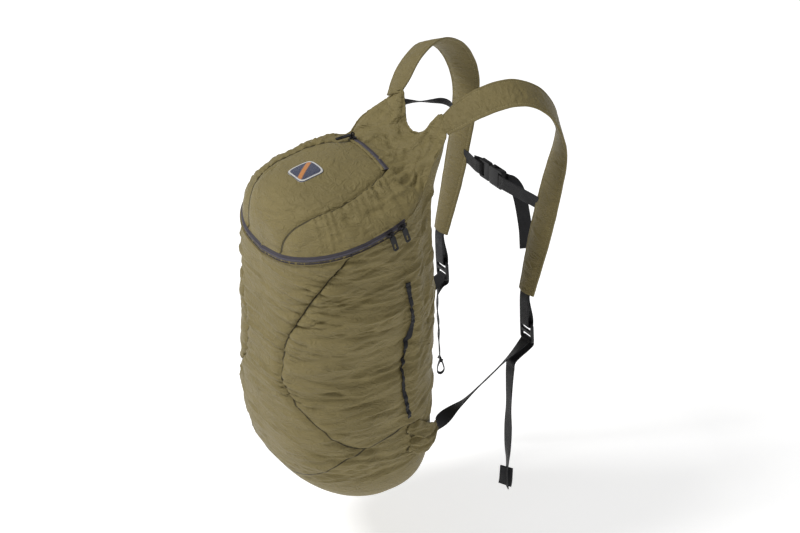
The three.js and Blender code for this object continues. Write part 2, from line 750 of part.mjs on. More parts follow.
// The small pocket's zip, laid across the lid just in front of the neckline.
const pocketZipY = bodyAxisY + 0.41 * bagBackDepth;
const pocketZipSlant = -0.1;
const clearOfCloth = 0.55;
const laidReach = 5; // how far round each of its points a laid piece clears the cloth
const pocketSink = 0.7; // how much lower the pocket's zip lies, which is nearly straight across the folds
const upwards = vec(0, 0, 1);
const pocketPlace = (a, b) => onLid(b, pocketZipY + pocketZipSlant * b + a);
const pocketSeat = (a, b) =>
  proudest(pocketPlace, a, b, laidReach, upwards).addScaledVector(upwards, -pocketSink);
const centred = (size, count) => spread(-size / 2, size / 2, count);
addPart(
  "pocket_zipper",
  stripLoft(laid(centred(pocketZipWidth, 3), centred(pocketZipLength, 15),
    pocketSeat, clearOfCloth, zipThickness / 2, upwards)),
  zipTape(),
);

// A plain sewn patch on the lid's crown.
const patchSize = 46;
const patchThickness = 1.2;
const patchY = bodyAxisY - 0.42 * bagFrontDepth;
const patchSeat = (a, b) => proudest((c, d) => onLid(c, patchY + d), a, b, laidReach, upwards);
addPart(
  "lid_patch",
  stripLoft(laid(centred(patchSize, 6), centred(patchSize, 6),
    patchSeat, clearOfCloth, patchThickness, upwards)),
  patchCloth(),
);

// The narrow tape down each side seam: height as a share of bagHeight, and its place along Y as a
// share of the depth behind the body's axis.
const tapeRoute = makeTable(
  ["height", "along"],
  [
    [0.3, 0.2],
    [0.36, 0.14],
    [0.44, 0.1],
    [0.52, 0.15],
    [0.6, 0.24],
    [0.66, 0.22],
    [0.72, 0.19],
  ],
);

// Shoulder straps: places along the strap's middle as shares of strapSpread, strapReach and
// strapDrop from its base seam, its width as a share of strapWidth, and its tilt, outer edge down.
const strapRoute = makeTable(
  ["step", "out", "back", "up", "width", "tilt"],
  [
    [0, 0, 0, 0, 0.76, 52],
    [1, 0.38, 0.25, 0.105, 0.92, 40],
    [2, 0.68, 0.49, 0.15, 0.98, 28],
    [3, 0.86, 0.68, 0.13, 1, 24],
    [4, 0.96, 0.85, 0.055, 1, 26],
    [5, 1, 0.97, -0.07, 1, 28],
    [6, 0.98, 1, -0.21, 1, 22],
    [7, 0.91, 0.94, -0.42, 1, 8],
    [8, 0.87, 0.845, -0.68, 0.96, 2],
    [9, 0.87, 0.716, -1, 0.68, 0],
  ],
);
const strapStart = 5.4; // between the strap's end and its base seam, so that the two solids stay apart
// Outline of the strap's section: shares of half its width and of half its thickness.
const strapSection = [[-1, 0], [-0.86, 0.8], [-0.4, 1], [0.4, 1], [0.86, 0.8], [1, 0],
  [0.86, -0.8], [0.4, -1], [-0.4, -1], [-0.86, -0.8]];
const strapStepsPerRow = 2;
const strapTurn = 0.8; // share of its tilt by which the outer edge is also turned towards the bag

// The places of one shoulder strap, with its directions at each.
function strapStations(side) {
  const outer = rimPoint(strapBaseAngles.outer);
  const inner = rimPoint(strapBaseAngles.inner);
  const base = outer.clone().add(inner).multiplyScalar(0.5);
  base.x *= side;
  const last = strapRoute.rows.length - 1;
  const steps = spread(0, last, last * strapStepsPerRow + 1);
  const place = (t) =>
    base.clone().add(vec(
      side * columnAt(strapRoute, "out", t) * strapSpread,
      columnAt(strapRoute, "back", t) * strapReach,
      columnAt(strapRoute, "up", t) * strapDrop,
    ));
  const points = steps.map(place);
  points[0] = stepBack(points[0], points[1], strapStart);
  return steps.map((t, i) => {
    const tilt = rad(columnAt(strapRoute, "tilt", t));
    const wished = vec(side * Math.cos(tilt), -strapTurn * Math.sin(tilt), -Math.sin(tilt));
    const width = columnAt(strapRoute, "width", t) * strapWidth;
    return { place: points[i], width, ...bandFrame(points, i, wished, 0) };
  });
}

const sternumStep = 7.5; // where on the strap's route the chest strap is sewn on

// A ladder lock: a flat frame with a slot for the sewn webbing and one for the webbing that slides.
const lockCorner = 5;
const lockSlotCorner = 1.5;
const lockSlotClear = 1.2; // from each edge of the webbing to the slot's end
function ladderLock() {
  const shape = rounded(lockWidth, lockHeight, lockCorner);
  const slotWidth = webbingWidth + 2 * lockSlotClear;
  const slotHeight = (lockHeight - 3 * lockBar) / 2;
  for (const s of [-1, 1]) {
    const slot = rounded(slotWidth, slotHeight, lockSlotCorner, THREE.Path);
    shape.holes.push(moved(slot, 0, (s * (slotHeight + lockBar)) / 2));
  }
  return plate(shape, lockThickness);
}

// Webbing round a bar: a half turn that starts and ends clear of the bar on its two faces.
function roundBar(centre, outwards, alongBar, turn) {
  return spread(0, turn, turnSteps).map((angle) =>
    centre.clone().add(outwards.clone().applyAxisAngle(alongBar, rad(angle))),
  );
}

const slack = 2; // sag of the sliding webbing
const levelX = () => vec(1, 0, 0);
const barClear = 0.35;
// The radius of webbing's middle as it turns round a bar with a rectangular section.
const wrapRadius = (thickness, bar) =>
  Math.hypot(thickness, bar) / 2 + webbingThickness / 2 + barClear;
const barWrap = wrapRadius(lockThickness, lockBar);
const lockBack = 5; // how far behind the strap's end the lock hangs
const sewnClear = 0.2; // between two layers of webbing, and between webbing and what it is sewn to
const loopRun = 12; // how far from a bar the webbing round it begins to close
// How each loose webbing end hangs: how far it follows the webbing, where it ends, and what ends it.
const tails = {
  right: { follow: 36, length: 228, swing: 0 },
  left: { follow: 12, length: 165, swing: 10 },
};

// Corner tabs: gathered cloth from the side seam's lower end, out to where the webbing is sewn in.
// way runs outwards, along is a share of bagBackDepth behind the body's axis, height and half its
// middle and half height as shares of bagHeight, and off how far it stands off, as a share of tabOff.
const tabTable = makeTable(
  ["way", "along", "height", "half", "off"],
  [
    [0, 0.22, 0.225, 0.062, 0],
    [0.5, 0.5, 0.2, 0.05, 0.35],
    [1, 0.74, 0.2, 0.02, 1],
  ],
);
const tabOff = 13;
const tabThickness = 4;
const tabSteps = 6;
const middleOf = (places) =>
  places.reduce((sum, p) => sum.add(p), vec(0, 0, 0)).divideScalar(places.length);

// How the sliding webbing leaves its tab: millimetres on along the tab and up its own run.
const tabLeave = [[0, 0], [6, 0], [8, 10], [5, 32]];
const tabClear = 0.3;
const slideRun = { from: 0.3, to: 0.85, count: 5 }; // shares of the way to the lock where it sags
const slideTwist = { from: 0.02, to: 0.22 }; // shares of its length between which it turns level
// The loose end: where it leaves the bar, then the webbing beside it, and where it hangs free.
const leaveBar = vec(0, -1, -9);
const leaveRun = vec(0, 4, -8);
const hangFree = vec(0, -4, -14);
const tailDrift = 2; // how far outwards its end hangs
const tailSteps = { from: 0.15, to: 1, count: 6 };

const sternumEnds = {};
for (const [name, side] of [["right", 1], ["left", -1]]) {
  const stations = strapStations(side);
  const sternumStation = stations[Math.round(sternumStep * strapStepsPerRow)];
  const toEdge = -sternumStation.width / 2 - seamGap;
  sternumEnds[name] = sternumStation.place.clone().addScaledVector(sternumStation.across, toEdge);
  addPart(
    `shoulder_strap_${name}`,
    loft(stations.map(({ place, width, across, out }) =>
      strapSection.map(([a, b]) =>
        place.clone()
          .addScaledVector(across, (a * width) / 2)
          .addScaledVector(out, (b * strapThickness) / 2),
      ),
    )),
    cloth(),
  );

  const end = stations.at(-1);
  const fall = end.along.clone();
  const lockAt = end.place.clone().addScaledVector(vec(0, 0, -1), lockDrop);
  lockAt.y += lockBack;
  const lockUp = end.place.clone().sub(lockAt).normalize();
  const lockAcross = vec(1, 0, 0).addScaledVector(lockUp, -lockUp.x).normalize();
  const lockOut = lockAcross.clone().cross(lockUp);
  setFrame(addPart(`ladder_lock_${name}`, ladderLock(), hardPlastic()), lockAt, lockAcross, lockUp, lockOut);

  // Sewn webbing: from the strap's end, round the lock's top bar and back up to the strap's end.
  const barStep = (lockHeight - lockBar) / 2;
  const topBar = lockAt.clone().addScaledVector(lockUp, barStep);
  const start = end.place.clone().addScaledVector(fall, seamGap + sewnClear);
  const front = lockOut.clone().multiplyScalar(barWrap);
  const splay = lockOut.clone().multiplyScalar(webbingThickness / 2 + sewnClear);
  const loop = [
    start.clone().add(splay),
    topBar.clone().add(front).addScaledVector(lockUp, loopRun),
    ...roundBar(topBar, front, lockAcross, 180),
    topBar.clone().sub(front).addScaledVector(lockUp, loopRun),
    start.clone().sub(splay),
  ];
  addPart(`strap_webbing_${name}`, band(loop, webbingWidth, webbingThickness, levelX), webbingCloth());

  // Corner tab, laid on the side of the body and leaving it towards its free end.
  const sidewards = vec(side, 0, 0);
  const sideSeat = (y, z) => onSide(side, y, z);
  const tabSections = spread(0, 1, tabSteps).map((t) => {
    const y = bodyAxisY + columnAt(tabTable, "along", t) * bagBackDepth;
    const z = columnAt(tabTable, "height", t) * bagHeight;
    const half = columnAt(tabTable, "half", t) * bagHeight;
    const lift = clearOfCloth + columnAt(tabTable, "off", t) * tabOff;
    const under = [-1, 0, 1].map((s) =>
      proudest(sideSeat, y, z + s * half, laidReach, sidewards).addScaledVector(sidewards, lift),
    );
    return [...under.map((p) => p.clone().addScaledVector(sidewards, tabThickness)), ...under.reverse()];
  });
  addPart(`corner_tab_${name}`, stripLoft(tabSections), cloth());
  const tabEnd = middleOf(tabSections.at(-1));

  // Sliding webbing: from the corner tab up to the lock, round its bottom bar, and down as a tail.
  const bottomBar = lockAt.clone().addScaledVector(lockUp, -barStep);
  const tail = tails[name];
  const tabAlong = tabEnd.clone().sub(middleOf(tabSections.at(-2))).setZ(0).normalize();
  const tabExit = tabEnd.clone().addScaledVector(tabAlong, seamGap + tabClear);
  const bagSide = lockOut.clone().multiplyScalar(-Math.sign(lockOut.y) * barWrap);
  const wearerSide = bagSide.clone().negate();
  const runUp = bottomBar.clone().sub(tabExit).normalize();
  const below = bottomBar.clone().addScaledVector(runUp, -tail.follow).add(leaveRun);
  const sag = (t) => vec(0, 0, -slack * Math.sin(Math.PI * t));
  const hang = (t) => vec(side * tailDrift * t, tail.swing * t, -(tail.length + hangFree.z) * t);
  const turnSign = Math.sign(bagSide.clone().cross(lockUp).dot(lockAcross));
  const slide = [
    ...tabLeave.map(([on, up]) =>
      tabExit.clone().addScaledVector(tabAlong, on).addScaledVector(runUp, up),
    ),
    ...spread(slideRun.from, slideRun.to, slideRun.count).map((t) =>
      tabExit.clone().lerp(bottomBar, t).add(sag(t)),
    ),
    ...roundBar(bottomBar, bagSide, lockAcross, turnSign * 180),
    bottomBar.clone().add(wearerSide).add(leaveBar),
    below,
    below.clone().add(hangFree),
    ...spread(tailSteps.from, tailSteps.to, tailSteps.count).map((t) =>
      below.clone().add(hangFree).add(hang(t)),
    ),
  ];
  const twistAt = (t) => 90 * (1 - THREE.MathUtils.smoothstep(t, slideTwist.from, slideTwist.to));
  addPart(
    `lower_webbing_${name}`,
    band(slide, webbingWidth, webbingThickness, levelX, twistAt),
    webbingCloth(),
  );

  // Side tape, laid along the side seam.
  const tapeY = (height) => bodyAxisY + columnAt(tapeRoute, "along", height) * bagBackDepth;
  const tapeSeat = (a, height) =>
    proudest(sideSeat, tapeY(height) + a, height * bagHeight, laidReach, sidewards);
  const tapeHeights = spread(tapeRoute.rows[0].height, tapeRoute.rows.at(-1).height, 15);
  addPart(
    `side_tape_${name}`,
    stripLoft(laid(centred(tapeWidth, 2), tapeHeights,
      tapeSeat, clearOfCloth, tapeThickness, sidewards)),
    webbingCloth(),
  );
}

// Chest buckle, fastened: the socket takes the plug's prongs. Each half ends in a bar for its webbing.
const socketLength = 0.55 * buckleLength;
const plugLength = buckleLength - socketLength;
const halvesGap = 0.4;
const barSlot = 5;
const buckleBar = 4.5;
const buckleSlotWidth = webbingWidth + 1.5;
const buckleCorner = 4;
const socketEnd = 4; // the wall between the socket's cavity and its bar's slot
const socketSide = 3.5; // its side walls
const cavityDepth = socketLength - buckleBar - barSlot - socketEnd;
const cavityHeight = 5.4;
const cavityWidth = buckleWidth - 2 * socketSide;
const windowLength = 9; // the openings in its sides, where the catches show
const plugLip = 0.7; // how far the plug's frame is thicker than the cavity, above and below
const plugThickness = cavityHeight + 2 * plugLip;
const plugSlot = 8;
const prongWidth = 4;
const prongRoot = 4; // how far each prong reaches into the plug's frame
const prongClear = 0.5; // above and below a prong
const prongSideClear = 1;
const prongReach = cavityDepth - 2;
const catchLength = windowLength - 3;
const catchBack = 3.4; // from a prong's tip back to the middle of its catch
const guideWidth = 3; // the middle prong, which has no catch
const guideShort = 3; // how much shorter it is
const cut = 2; // how much longer than its piece a cutting box is

function box(x, y, z, place) {
  return new THREE.BoxGeometry(x, y, z).translate(place[0], place[1], place[2]);
}

function buckleSocket() {
  const middle = buckleLength / 2 - socketLength / 2;
  const mouth = buckleLength / 2 - socketLength;
  const block = plate(rounded(socketLength, buckleWidth, buckleCorner), buckleThickness);
  const cavityAt = mouth + (cavityDepth - cut) / 2;
  const windowAt = mouth + cavityDepth - windowLength / 2;
  const slotAt = buckleLength / 2 - buckleBar - barSlot / 2;
  const cuts = [
    box(cavityDepth + cut, cavityWidth, cavityHeight, [cavityAt, 0, 0]),
    box(windowLength, buckleWidth + cut, cavityHeight, [windowAt, 0, 0]),
    box(barSlot, buckleSlotWidth, buckleThickness + cut, [slotAt, 0, 0]),
  ];
  const whole = toManifold(block.translate(middle, 0, 0));
  return fromManifold(cuts.reduce((made, piece) => made.subtract(toManifold(piece)), whole));
}

function bucklePlug() {
  const left = -buckleLength / 2;
  const frame = plate(rounded(plugLength - halvesGap, buckleWidth, buckleCorner), plugThickness);
  frame.translate(left + (plugLength - halvesGap) / 2, 0, 0);
  const root = left + plugLength - prongRoot;
  const prong = prongReach + prongRoot;
  const guide = prong - guideShort;
  const thick = cavityHeight - 2 * prongClear;
  const prongY = cavityWidth / 2 - prongSideClear - prongWidth / 2;
  const slotAt = left + buckleBar + plugSlot / 2;
  const slot = box(plugSlot, buckleSlotWidth, buckleThickness + cut, [slotAt, 0, 0]);
  const added = [
    box(guide, guideWidth, thick, [root + guide / 2, 0, 0]),
    ...[-1, 1].flatMap((s) => [
      box(prong, prongWidth, thick, [root + prong / 2, s * prongY, 0]),
      box(catchLength, prongWidth, thick, [root + prong - catchBack, (s * cavityWidth) / 2, 0]),
    ]),
  ];
  const bare = toManifold(frame).subtract(toManifold(slot));
  return fromManifold(added.reduce((made, piece) => made.add(toManifold(piece)), bare));
}

const buckleOffset = -20; // the buckle lies this far from the middle, towards the wearer's left
const chestLine = sternumEnds.right.clone().sub(sternumEnds.left).normalize();
const chestMiddle = middleOf([sternumEnds.right, sternumEnds.left]);
const buckleAt = chestMiddle.addScaledVector(chestLine, buckleOffset);
const chestUp = vec(0, 0, 1);
const chestOut = chestLine.clone().cross(chestUp);
for (const [name, geometry] of [["buckle_socket", buckleSocket()], ["buckle_plug", bucklePlug()]])
  setFrame(addPart(name, geometry, hardPlastic()), buckleAt, chestLine, chestUp, chestOut);

// Chest webbing. The left length is sewn back on itself round the plug's bar. The right one turns
// round the socket's bar, and its loose end hangs behind it.
const chestWrap = wrapRadius(buckleThickness, buckleBar);
const plugWrap = wrapRadius(plugThickness, buckleBar);
const vertical = () => vec(0, 0, 1);
const plugBar = buckleAt.clone().addScaledVector(chestLine, -(buckleLength - buckleBar) / 2);
const socketBar = buckleAt.clone().addScaledVector(chestLine, (buckleLength - buckleBar) / 2);
const chestSplay = chestOut.clone().multiplyScalar(webbingThickness / 2 + sewnClear);
const plugRun = 8; // how far from the plug's bar its webbing begins to close
const sewnBack = 0.55; // share of the way to the strap where the folded end is sewn down
addPart(
  "chest_webbing_left",
  band([
    sternumEnds.left.clone().add(chestSplay),
    plugBar.clone().addScaledVector(chestOut, plugWrap).addScaledVector(chestLine, -plugRun),
    ...roundBar(plugBar, chestOut.clone().multiplyScalar(plugWrap), chestUp, 180),
    plugBar.clone().addScaledVector(chestOut, -plugWrap).addScaledVector(chestLine, -plugRun),
    plugBar.clone().lerp(sternumEnds.left, sewnBack).sub(chestSplay),
  ], webbingWidth, webbingThickness, vertical),
  webbingCloth(),
);
const tailDrop = 108;
// The loose end's places: millimetres outwards and back, and the height as a share of tailDrop.
const tailRoute = [
  [0, 0, 0],
  [4, 1, 0],
  [9, 3, -0.03],
  [13, 6, -0.1],
  [16, 9, -0.22],
  [19, 13, -0.45],
  [21, 17, -0.72],
  [22, 19, -1],
];
const tailLeave = 6; // how far past the socket's bar it leaves the other layer
const tailStart = socketBar.clone()
  .addScaledVector(chestOut, -chestWrap)
  .addScaledVector(chestLine, tailLeave);
const chestTail = tailRoute.map(([x, y, z]) => tailStart.clone().add(vec(x, y, z * tailDrop)));
const chestRoute = [
  sternumEnds.right,
  socketBar.clone().addScaledVector(chestOut, chestWrap).addScaledVector(chestLine, loopRun),
  ...roundBar(socketBar, chestOut.clone().multiplyScalar(chestWrap), chestUp, -180),
  ...chestTail,
];
// The loose end's width turns from upright to level over these shares of the webbing's length.
const tailTurning = { from: 0.5, to: 0.75 };
const levelAcross = vec(0.5, 0.86, 0);
const tailTurn = (t) =>
  vec(0, 0, 1).lerp(levelAcross, THREE.MathUtils.smoothstep(t, tailTurning.from, tailTurning.to));
addPart("chest_webbing_right", band(chestRoute, webbingWidth, webbingThickness, tailTurn), webbingCloth());

// Haul loop: narrow webbing between the inner ends of the two strap bases, bowed towards the wearer.
const haulThickness = 1.4;
const haulReach = 50;
const haulAngle = 70;
const haulBehindRim = -0.7; // the loop's ends, seen from the line of the rim
const haulEnd = rimPoint(haulAngle).add(vec(0, haulBehindRim, 0));
// Half of the loop: shares of its half width, and of haulReach back and up from its end.
const haulRoute = [
  [1, 0.02, 0],
  [0.96, 0.16, -0.02],
  [0.84, 0.46, -0.06],
  [0.62, 0.76, -0.06],
  [0.34, 0.95, -0.02],
  [0, 1, 0],
];
const haulHalf = haulRoute.map(([x, y, z]) =>
  vec(x * haulEnd.x, haulEnd.y + y * haulReach, haulEnd.z + z * haulReach),
);
const haulOther = haulHalf.slice(0, -1).reverse().map((p) => vec(-p.x, p.y, p.z));
const haulLine = smoothLine([...haulHalf, ...haulOther], 22);
addPart("haul_loop", band(haulLine, haulWidth, haulThickness, vertical), webbingCloth());

// A zip slider with its bridge, drawn along x with z away from the zip.
const bridgeBar = 1.4;
const bridgeOpening = 3;
const bridgeWidth = 2;
const bridgeLeg = 1.6;
const bridgeInset = 1; // from the slider's end to the bridge's
const legSink = 1; // how far each leg reaches into the slider
const sliderCorner = 2.5;
const bridgeHeight = sliderThickness + bridgeOpening + bridgeBar / 2; // from its underside to the bar
function sliderGeometry() {
  const body = plate(rounded(sliderLength, sliderWidth, sliderCorner), sliderThickness);
  const span = sliderLength - 2 * bridgeInset;
  const legHeight = bridgeOpening + bridgeBar + legSink;
  const legMiddle = sliderThickness - legSink + legHeight / 2;
  const legs = [-1, 1].map((s) => [(s * (span - bridgeLeg)) / 2, 0, legMiddle]);
  const pieces = [
    box(span, bridgeWidth, bridgeBar, [0, 0, bridgeHeight]),
    ...legs.map((place) => box(bridgeLeg, bridgeWidth, legHeight, place)),
  ];
  const whole = toManifold(body.translate(0, 0, sliderThickness / 2));
  return fromManifold(pieces.reduce((made, piece) => made.add(toManifold(piece)), whole));
}

// A zip pull: a ring round the slider's bridge and a tab with an oval hole, drawn hanging along -y.
const ringHole = 1.8;
const ringWire = 1.4;
const ringSteps = 6;
const pullCorner = 2.5;
const pullHole = { width: 3, length: 9, corner: 1.4, fromTip: 7 };
function pullGeometry() {
  const ring = new THREE.Shape().absarc(0, 0, ringHole + ringWire, 0, 2 * Math.PI, false);
  ring.holes.push(new THREE.Path().absarc(0, 0, ringHole, 0, 2 * Math.PI, true));
  const options = { depth: pullThickness, bevelEnabled: false, curveSegments: ringSteps };
  const link = new THREE.ExtrudeGeometry(ring, options);
  link.translate(0, 0, -pullThickness / 2).rotateY(Math.PI / 2);
  const tabLength = pullLength - ringHole - ringWire;
  const tab = rounded(pullWidth, tabLength, pullCorner);
  const hole = rounded(pullHole.width, pullHole.length, pullHole.corner, THREE.Path);
  tab.holes.push(moved(hole, 0, pullHole.fromTip - tabLength / 2));
  const flat = plate(tab, pullThickness).translate(0, -ringHole - ringWire / 2 - tabLength / 2, 0);
  return fromManifold(toManifold(link).add(toManifold(flat)));
}

// Puts a slider and its pull on a zip: a place on the zip's face, its direction and its outward normal.
function addSlider(name, place, along, out, hang) {
  const across = out.clone().cross(along).normalize();
  const seat = place.clone().addScaledVector(out, seamGap);
  setFrame(addPart(`slider_${name}`, sliderGeometry(), zipTape()), seat, along, across, out);
  const axis = seat.clone().addScaledVector(out, bridgeHeight);
  const upTab = hang.clone().addScaledVector(along, -hang.dot(along)).normalize().negate();
  const face = along.clone().cross(upTab).normalize();
  setFrame(addPart(`pull_${name}`, pullGeometry(), hardPlastic()), axis, along, upTab, face);
}

// Both main sliders stand closed together at the zip's end on the wearer's right.
const sliderPlaces = { front: 1.35, back: 0.3 }; // in steps between sections, counted from the zip's end
for (const [name, back] of Object.entries(sliderPlaces)) {
  const k = zipSections.length - 1 - back;
  const low = Math.floor(k);
  const next = Math.min(low + 1, zipSections.length - 1);
  const [from, to] = [low, next].map((i) => middleOf(zipSections[i].slice(0, 2)));
  const along = to.clone().sub(from).normalize();
  const rise = zipSections[low][1].clone().sub(zipSections[low][0]);
  const out = along.clone().cross(rise).normalize();
  if (out.x < 0) out.negate();
  addSlider(name, from.clone().lerp(to, k - low), along, out, vec(0, 0, -1));
}

// The pocket's slider stands at the end of its zip on the wearer's left.
const sliderInset = 1; // from the zip's end to the slider's
const sliderSeat = 0.3; // between the pocket's zip and its slider's seat, over the cloth's folds
const pocketSliderX = -pocketZipLength / 2 + sliderLength / 2 + sliderInset;
const pocketFrom = pocketSeat(0, pocketSliderX - sliderLength / 2);
const pocketTo = pocketSeat(0, pocketSliderX + sliderLength / 2);
const pocketAlong = pocketTo.clone().sub(pocketFrom).normalize();
const pocketOut = vec(0, 0, 1).addScaledVector(pocketAlong, -pocketAlong.z).normalize();
const pocketLift = clearOfCloth + zipThickness / 2 + sliderSeat;
const pocketTop = middleOf([pocketFrom, pocketTo]).addScaledVector(pocketOut, pocketLift);
const pocketHang = vec(0, -1, -0.05); // the pull lies forwards on the lid
addSlider("pocket", pocketTop, pocketAlong, pocketOut, pocketHang);

// The origin lies midway between the straps, at the height of their undersides where they rest.
const restStep = 2;
const restPlace = strapStations(1)[Math.round(restStep * strapStepsPerRow)].place;
group.position.set(0, -restPlace.y, -(restPlace.z - strapThickness / 2));

export default group;
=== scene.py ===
"""A packable backpack's looks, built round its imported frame. Metres, +Z up, the bag's front at -Y."""

import bmesh
import bpy
import numpy as np
from mathutils import Matrix, Vector


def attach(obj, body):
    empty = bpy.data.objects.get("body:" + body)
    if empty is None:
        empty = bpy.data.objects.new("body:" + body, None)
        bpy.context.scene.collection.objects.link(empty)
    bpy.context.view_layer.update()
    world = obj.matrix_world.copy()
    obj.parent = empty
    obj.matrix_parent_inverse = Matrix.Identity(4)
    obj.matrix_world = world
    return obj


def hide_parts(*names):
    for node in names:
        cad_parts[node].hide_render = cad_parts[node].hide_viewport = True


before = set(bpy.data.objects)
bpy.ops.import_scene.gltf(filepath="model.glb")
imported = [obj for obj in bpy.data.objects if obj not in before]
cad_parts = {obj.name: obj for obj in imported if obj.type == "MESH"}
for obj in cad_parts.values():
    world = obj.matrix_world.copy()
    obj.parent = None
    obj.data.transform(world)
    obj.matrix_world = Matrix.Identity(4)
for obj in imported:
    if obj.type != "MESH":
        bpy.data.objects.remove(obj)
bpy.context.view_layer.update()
scene = bpy.context.scene

# Studio: a pale floor with a faint glow of its own, a big soft light from the upper left, a weaker one
# from the right and a pale world. The camera stands about 2.9 m away, 56 degrees round from the front
# and 30 degrees up.
camera_place = (2.0858, -1.5075, 1.1976)
camera_right = Vector((0.5566, 0.8307, 0.0))
camera_back = Vector((0.7160, -0.4797, 0.5071))
camera_up = camera_back.cross(camera_right)
camera = bpy.data.objects.new("camera", bpy.data.cameras.new("camera"))
camera.data.lens = 90.84
camera_turn = Matrix((camera_right, camera_up, camera_back)).transposed()
camera.matrix_world = Matrix.Translation(camera_place) @ camera_turn.to_4x4()
camera.data.clip_end = 50
scene.collection.objects.link(camera)
scene.camera = camera

world = bpy.data.worlds.new("studio")
scene.world = world
world.use_nodes = True
world.node_tree.nodes["Background"].inputs["Color"].default_value = (1, 1, 1, 1)
world.node_tree.nodes["Background"].inputs["Strength"].default_value = 0.38
scene.view_settings.view_transform = "Standard"


def soft_light(name, place, aim, size, power):
    """A square area light of the given size at a place, turned to face the aim point."""
    light = bpy.data.objects.new(name, bpy.data.lights.new(name, "AREA"))
    light.data.size = size
    light.data.energy = power
    light.location = place
    light.rotation_euler = (Vector(aim) - Vector(place)).to_track_quat("-Z", "Y").to_euler()
    scene.collection.objects.link(light)


def new_material(name):
    """A new material, its node tree and its main shader."""
    material = bpy.data.materials.new(name)
    material.use_nodes = True
    return material, material.node_tree, material.node_tree.nodes["Principled BSDF"]


bag_middle = (0, -0.2, -0.3)
soft_light("key_light", (-0.9, -2.4, 2.7), bag_middle, 1.1, 100)
soft_light("side_light", (2.8, 0.6, 1.4), bag_middle, 1.6, 4)

floor_height, floor_half = -0.72, 8
floor_corners = [(x * floor_half, y * floor_half, floor_height)
                 for x, y in ((-1, -1), (1, -1), (1, 1), (-1, 1))]
floor_mesh = bpy.data.meshes.new("floor")
floor_mesh.from_pydata(floor_corners, [], [(0, 1, 2, 3)])
floor = bpy.data.objects.new("floor", floor_mesh)
scene.collection.objects.link(floor)
floor_material, _, floor_shader = new_material("pale_floor")
floor_shader.inputs["Base Color"].default_value = (0.93, 0.93, 0.93, 1)
floor_shader.inputs["Roughness"].default_value = 0.9
floor_shader.inputs["Emission Color"].default_value = (1, 1, 1, 1)
floor_shader.inputs["Emission Strength"].default_value = 0.5
floor_mesh.materials.append(floor_material)

# Bag body: one big tube of thin olive nylon, cut as a front panel with an hourglass seam, two sides, a
# back and a base, and puckered along its seams. It is worked out in millimetres with z = 0 at the base.
shoulder_rest = np.array([0.0, 121.568, 590.495])  # the origin, seen from the middle of the bag's base
bag_height = 523.0
half_width = 140.0
front_depth = 130.0
back_depth = 114.0
axis_y = -88.0
base_rise = 34.0
squareness = 2.5
fold_depth = 5.0
zip_front, zip_side, notch, horn_tip = 414.0, 468.0, 493.0, 564.0
zip_width = 10.0
no_seam = 99.0  # the distance stored where no seam is near

# girth, height, width, front, back
body_sections = np.array([
    [0, 0, 0, 0, 0],
    [0.1, 0.002, 0.36, 0.34, 0.38],
    [0.2, 0.012, 0.64, 0.63, 0.66],
    [0.3, 0.05, 0.84, 0.87, 0.85],
    [0.42, 0.13, 0.95, 1.01, 0.94],
    [0.6, 0.27, 1, 1.07, 0.95],
    [0.8, 0.44, 1, 1.045, 0.97],
    [1, 0.6, 1, 1, 1],
])
# angle, across, along, low, side, horn, flare
rim_table = np.array([
    [-90, 0, -0.985, 0, 0, 0, 0],
    [-72, 0.36, -0.955, 0.12, 0, 0, 0],
    [-52, 0.65, -0.81, 0.3, 0, 0, 0],
    [-30, 0.845, -0.555, 0.5, 0, 0, 0],
    [-10, 0.925, -0.22, 0.72, 0, 0, 0],
    [7, 0.93, 0.17, 1, 0, 0, 0],
    [26, 0.83, 0.44, 1, 0.5, 0, 0.05],
    [41, 0.68, 0.675, 1, 1, 0, 0.2],
    [46, 0.635, 0.82, 1, 1, 0.33, 0.5],
    [52, 0.52, 1.1, 1, 1, 0.69, 0.66],
    [62, 0.357, 1.184, 1, 1, 1, 0.7],
    [70, 0.27, 1.16, 1, 1, 0.8, 0.6],
    [80, 0.14, 1.08, 1, 1, 0.5, 0.5],
    [90, 0, 1.05, 1, 1, 0.42, 0.4],
])
# angle, height, lean, length, width, depth
body_folds = np.array([
    [-24, 0.7, 28, 0.13, 0.05, -0.8],
    [-14, 0.6, 32, 0.16, 0.05, 0.6],
    [-20, 0.48, 36, 0.14, 0.055, -1],
    [-6, 0.37, 30, 0.13, 0.05, 0.7],
    [-12, 0.27, 22, 0.12, 0.05, -0.8],
    [-60, 0.66, 12, 0.07, 0.04, -0.7],
    [-66, 0.52, 4, 0.06, 0.04, -0.7],
    [-64, 0.4, -8, 0.06, 0.04, -0.6],
    [14, 0.55, 84, 0.22, 0.045, 0.8],
    [5, 0.52, 88, 0.3, 0.03, -1],
    [30, 0.72, 70, 0.12, 0.06, -0.8],
    [70, 0.5, 5, 0.08, 0.07, 0.6],
    [78, 0.3, -6, 0.08, 0.07, -0.5],
])
# height, angle: the front panel's seam
front_seam = np.array([
    [0.1, -4], [0.225, -10], [0.245, -22], [0.275, -34], [0.31, -44], [0.36, -59], [0.42, -73],
    [0.48, -75], [0.56, -72], [0.68, -56], [0.75, -43], [0.84, -24],
])
# angle, height: the base's seam
base_seam = np.array([
    [-90, 0.1], [-70, 0.118], [-47.5, 0.157], [-36, 0.192], [-25.5, 0.217], [-15.5, 0.235],
    [-6, 0.253], [0, 0.262], [9.5, 0.275], [30, 0.24], [60, 0.2], [90, 0.19],
])


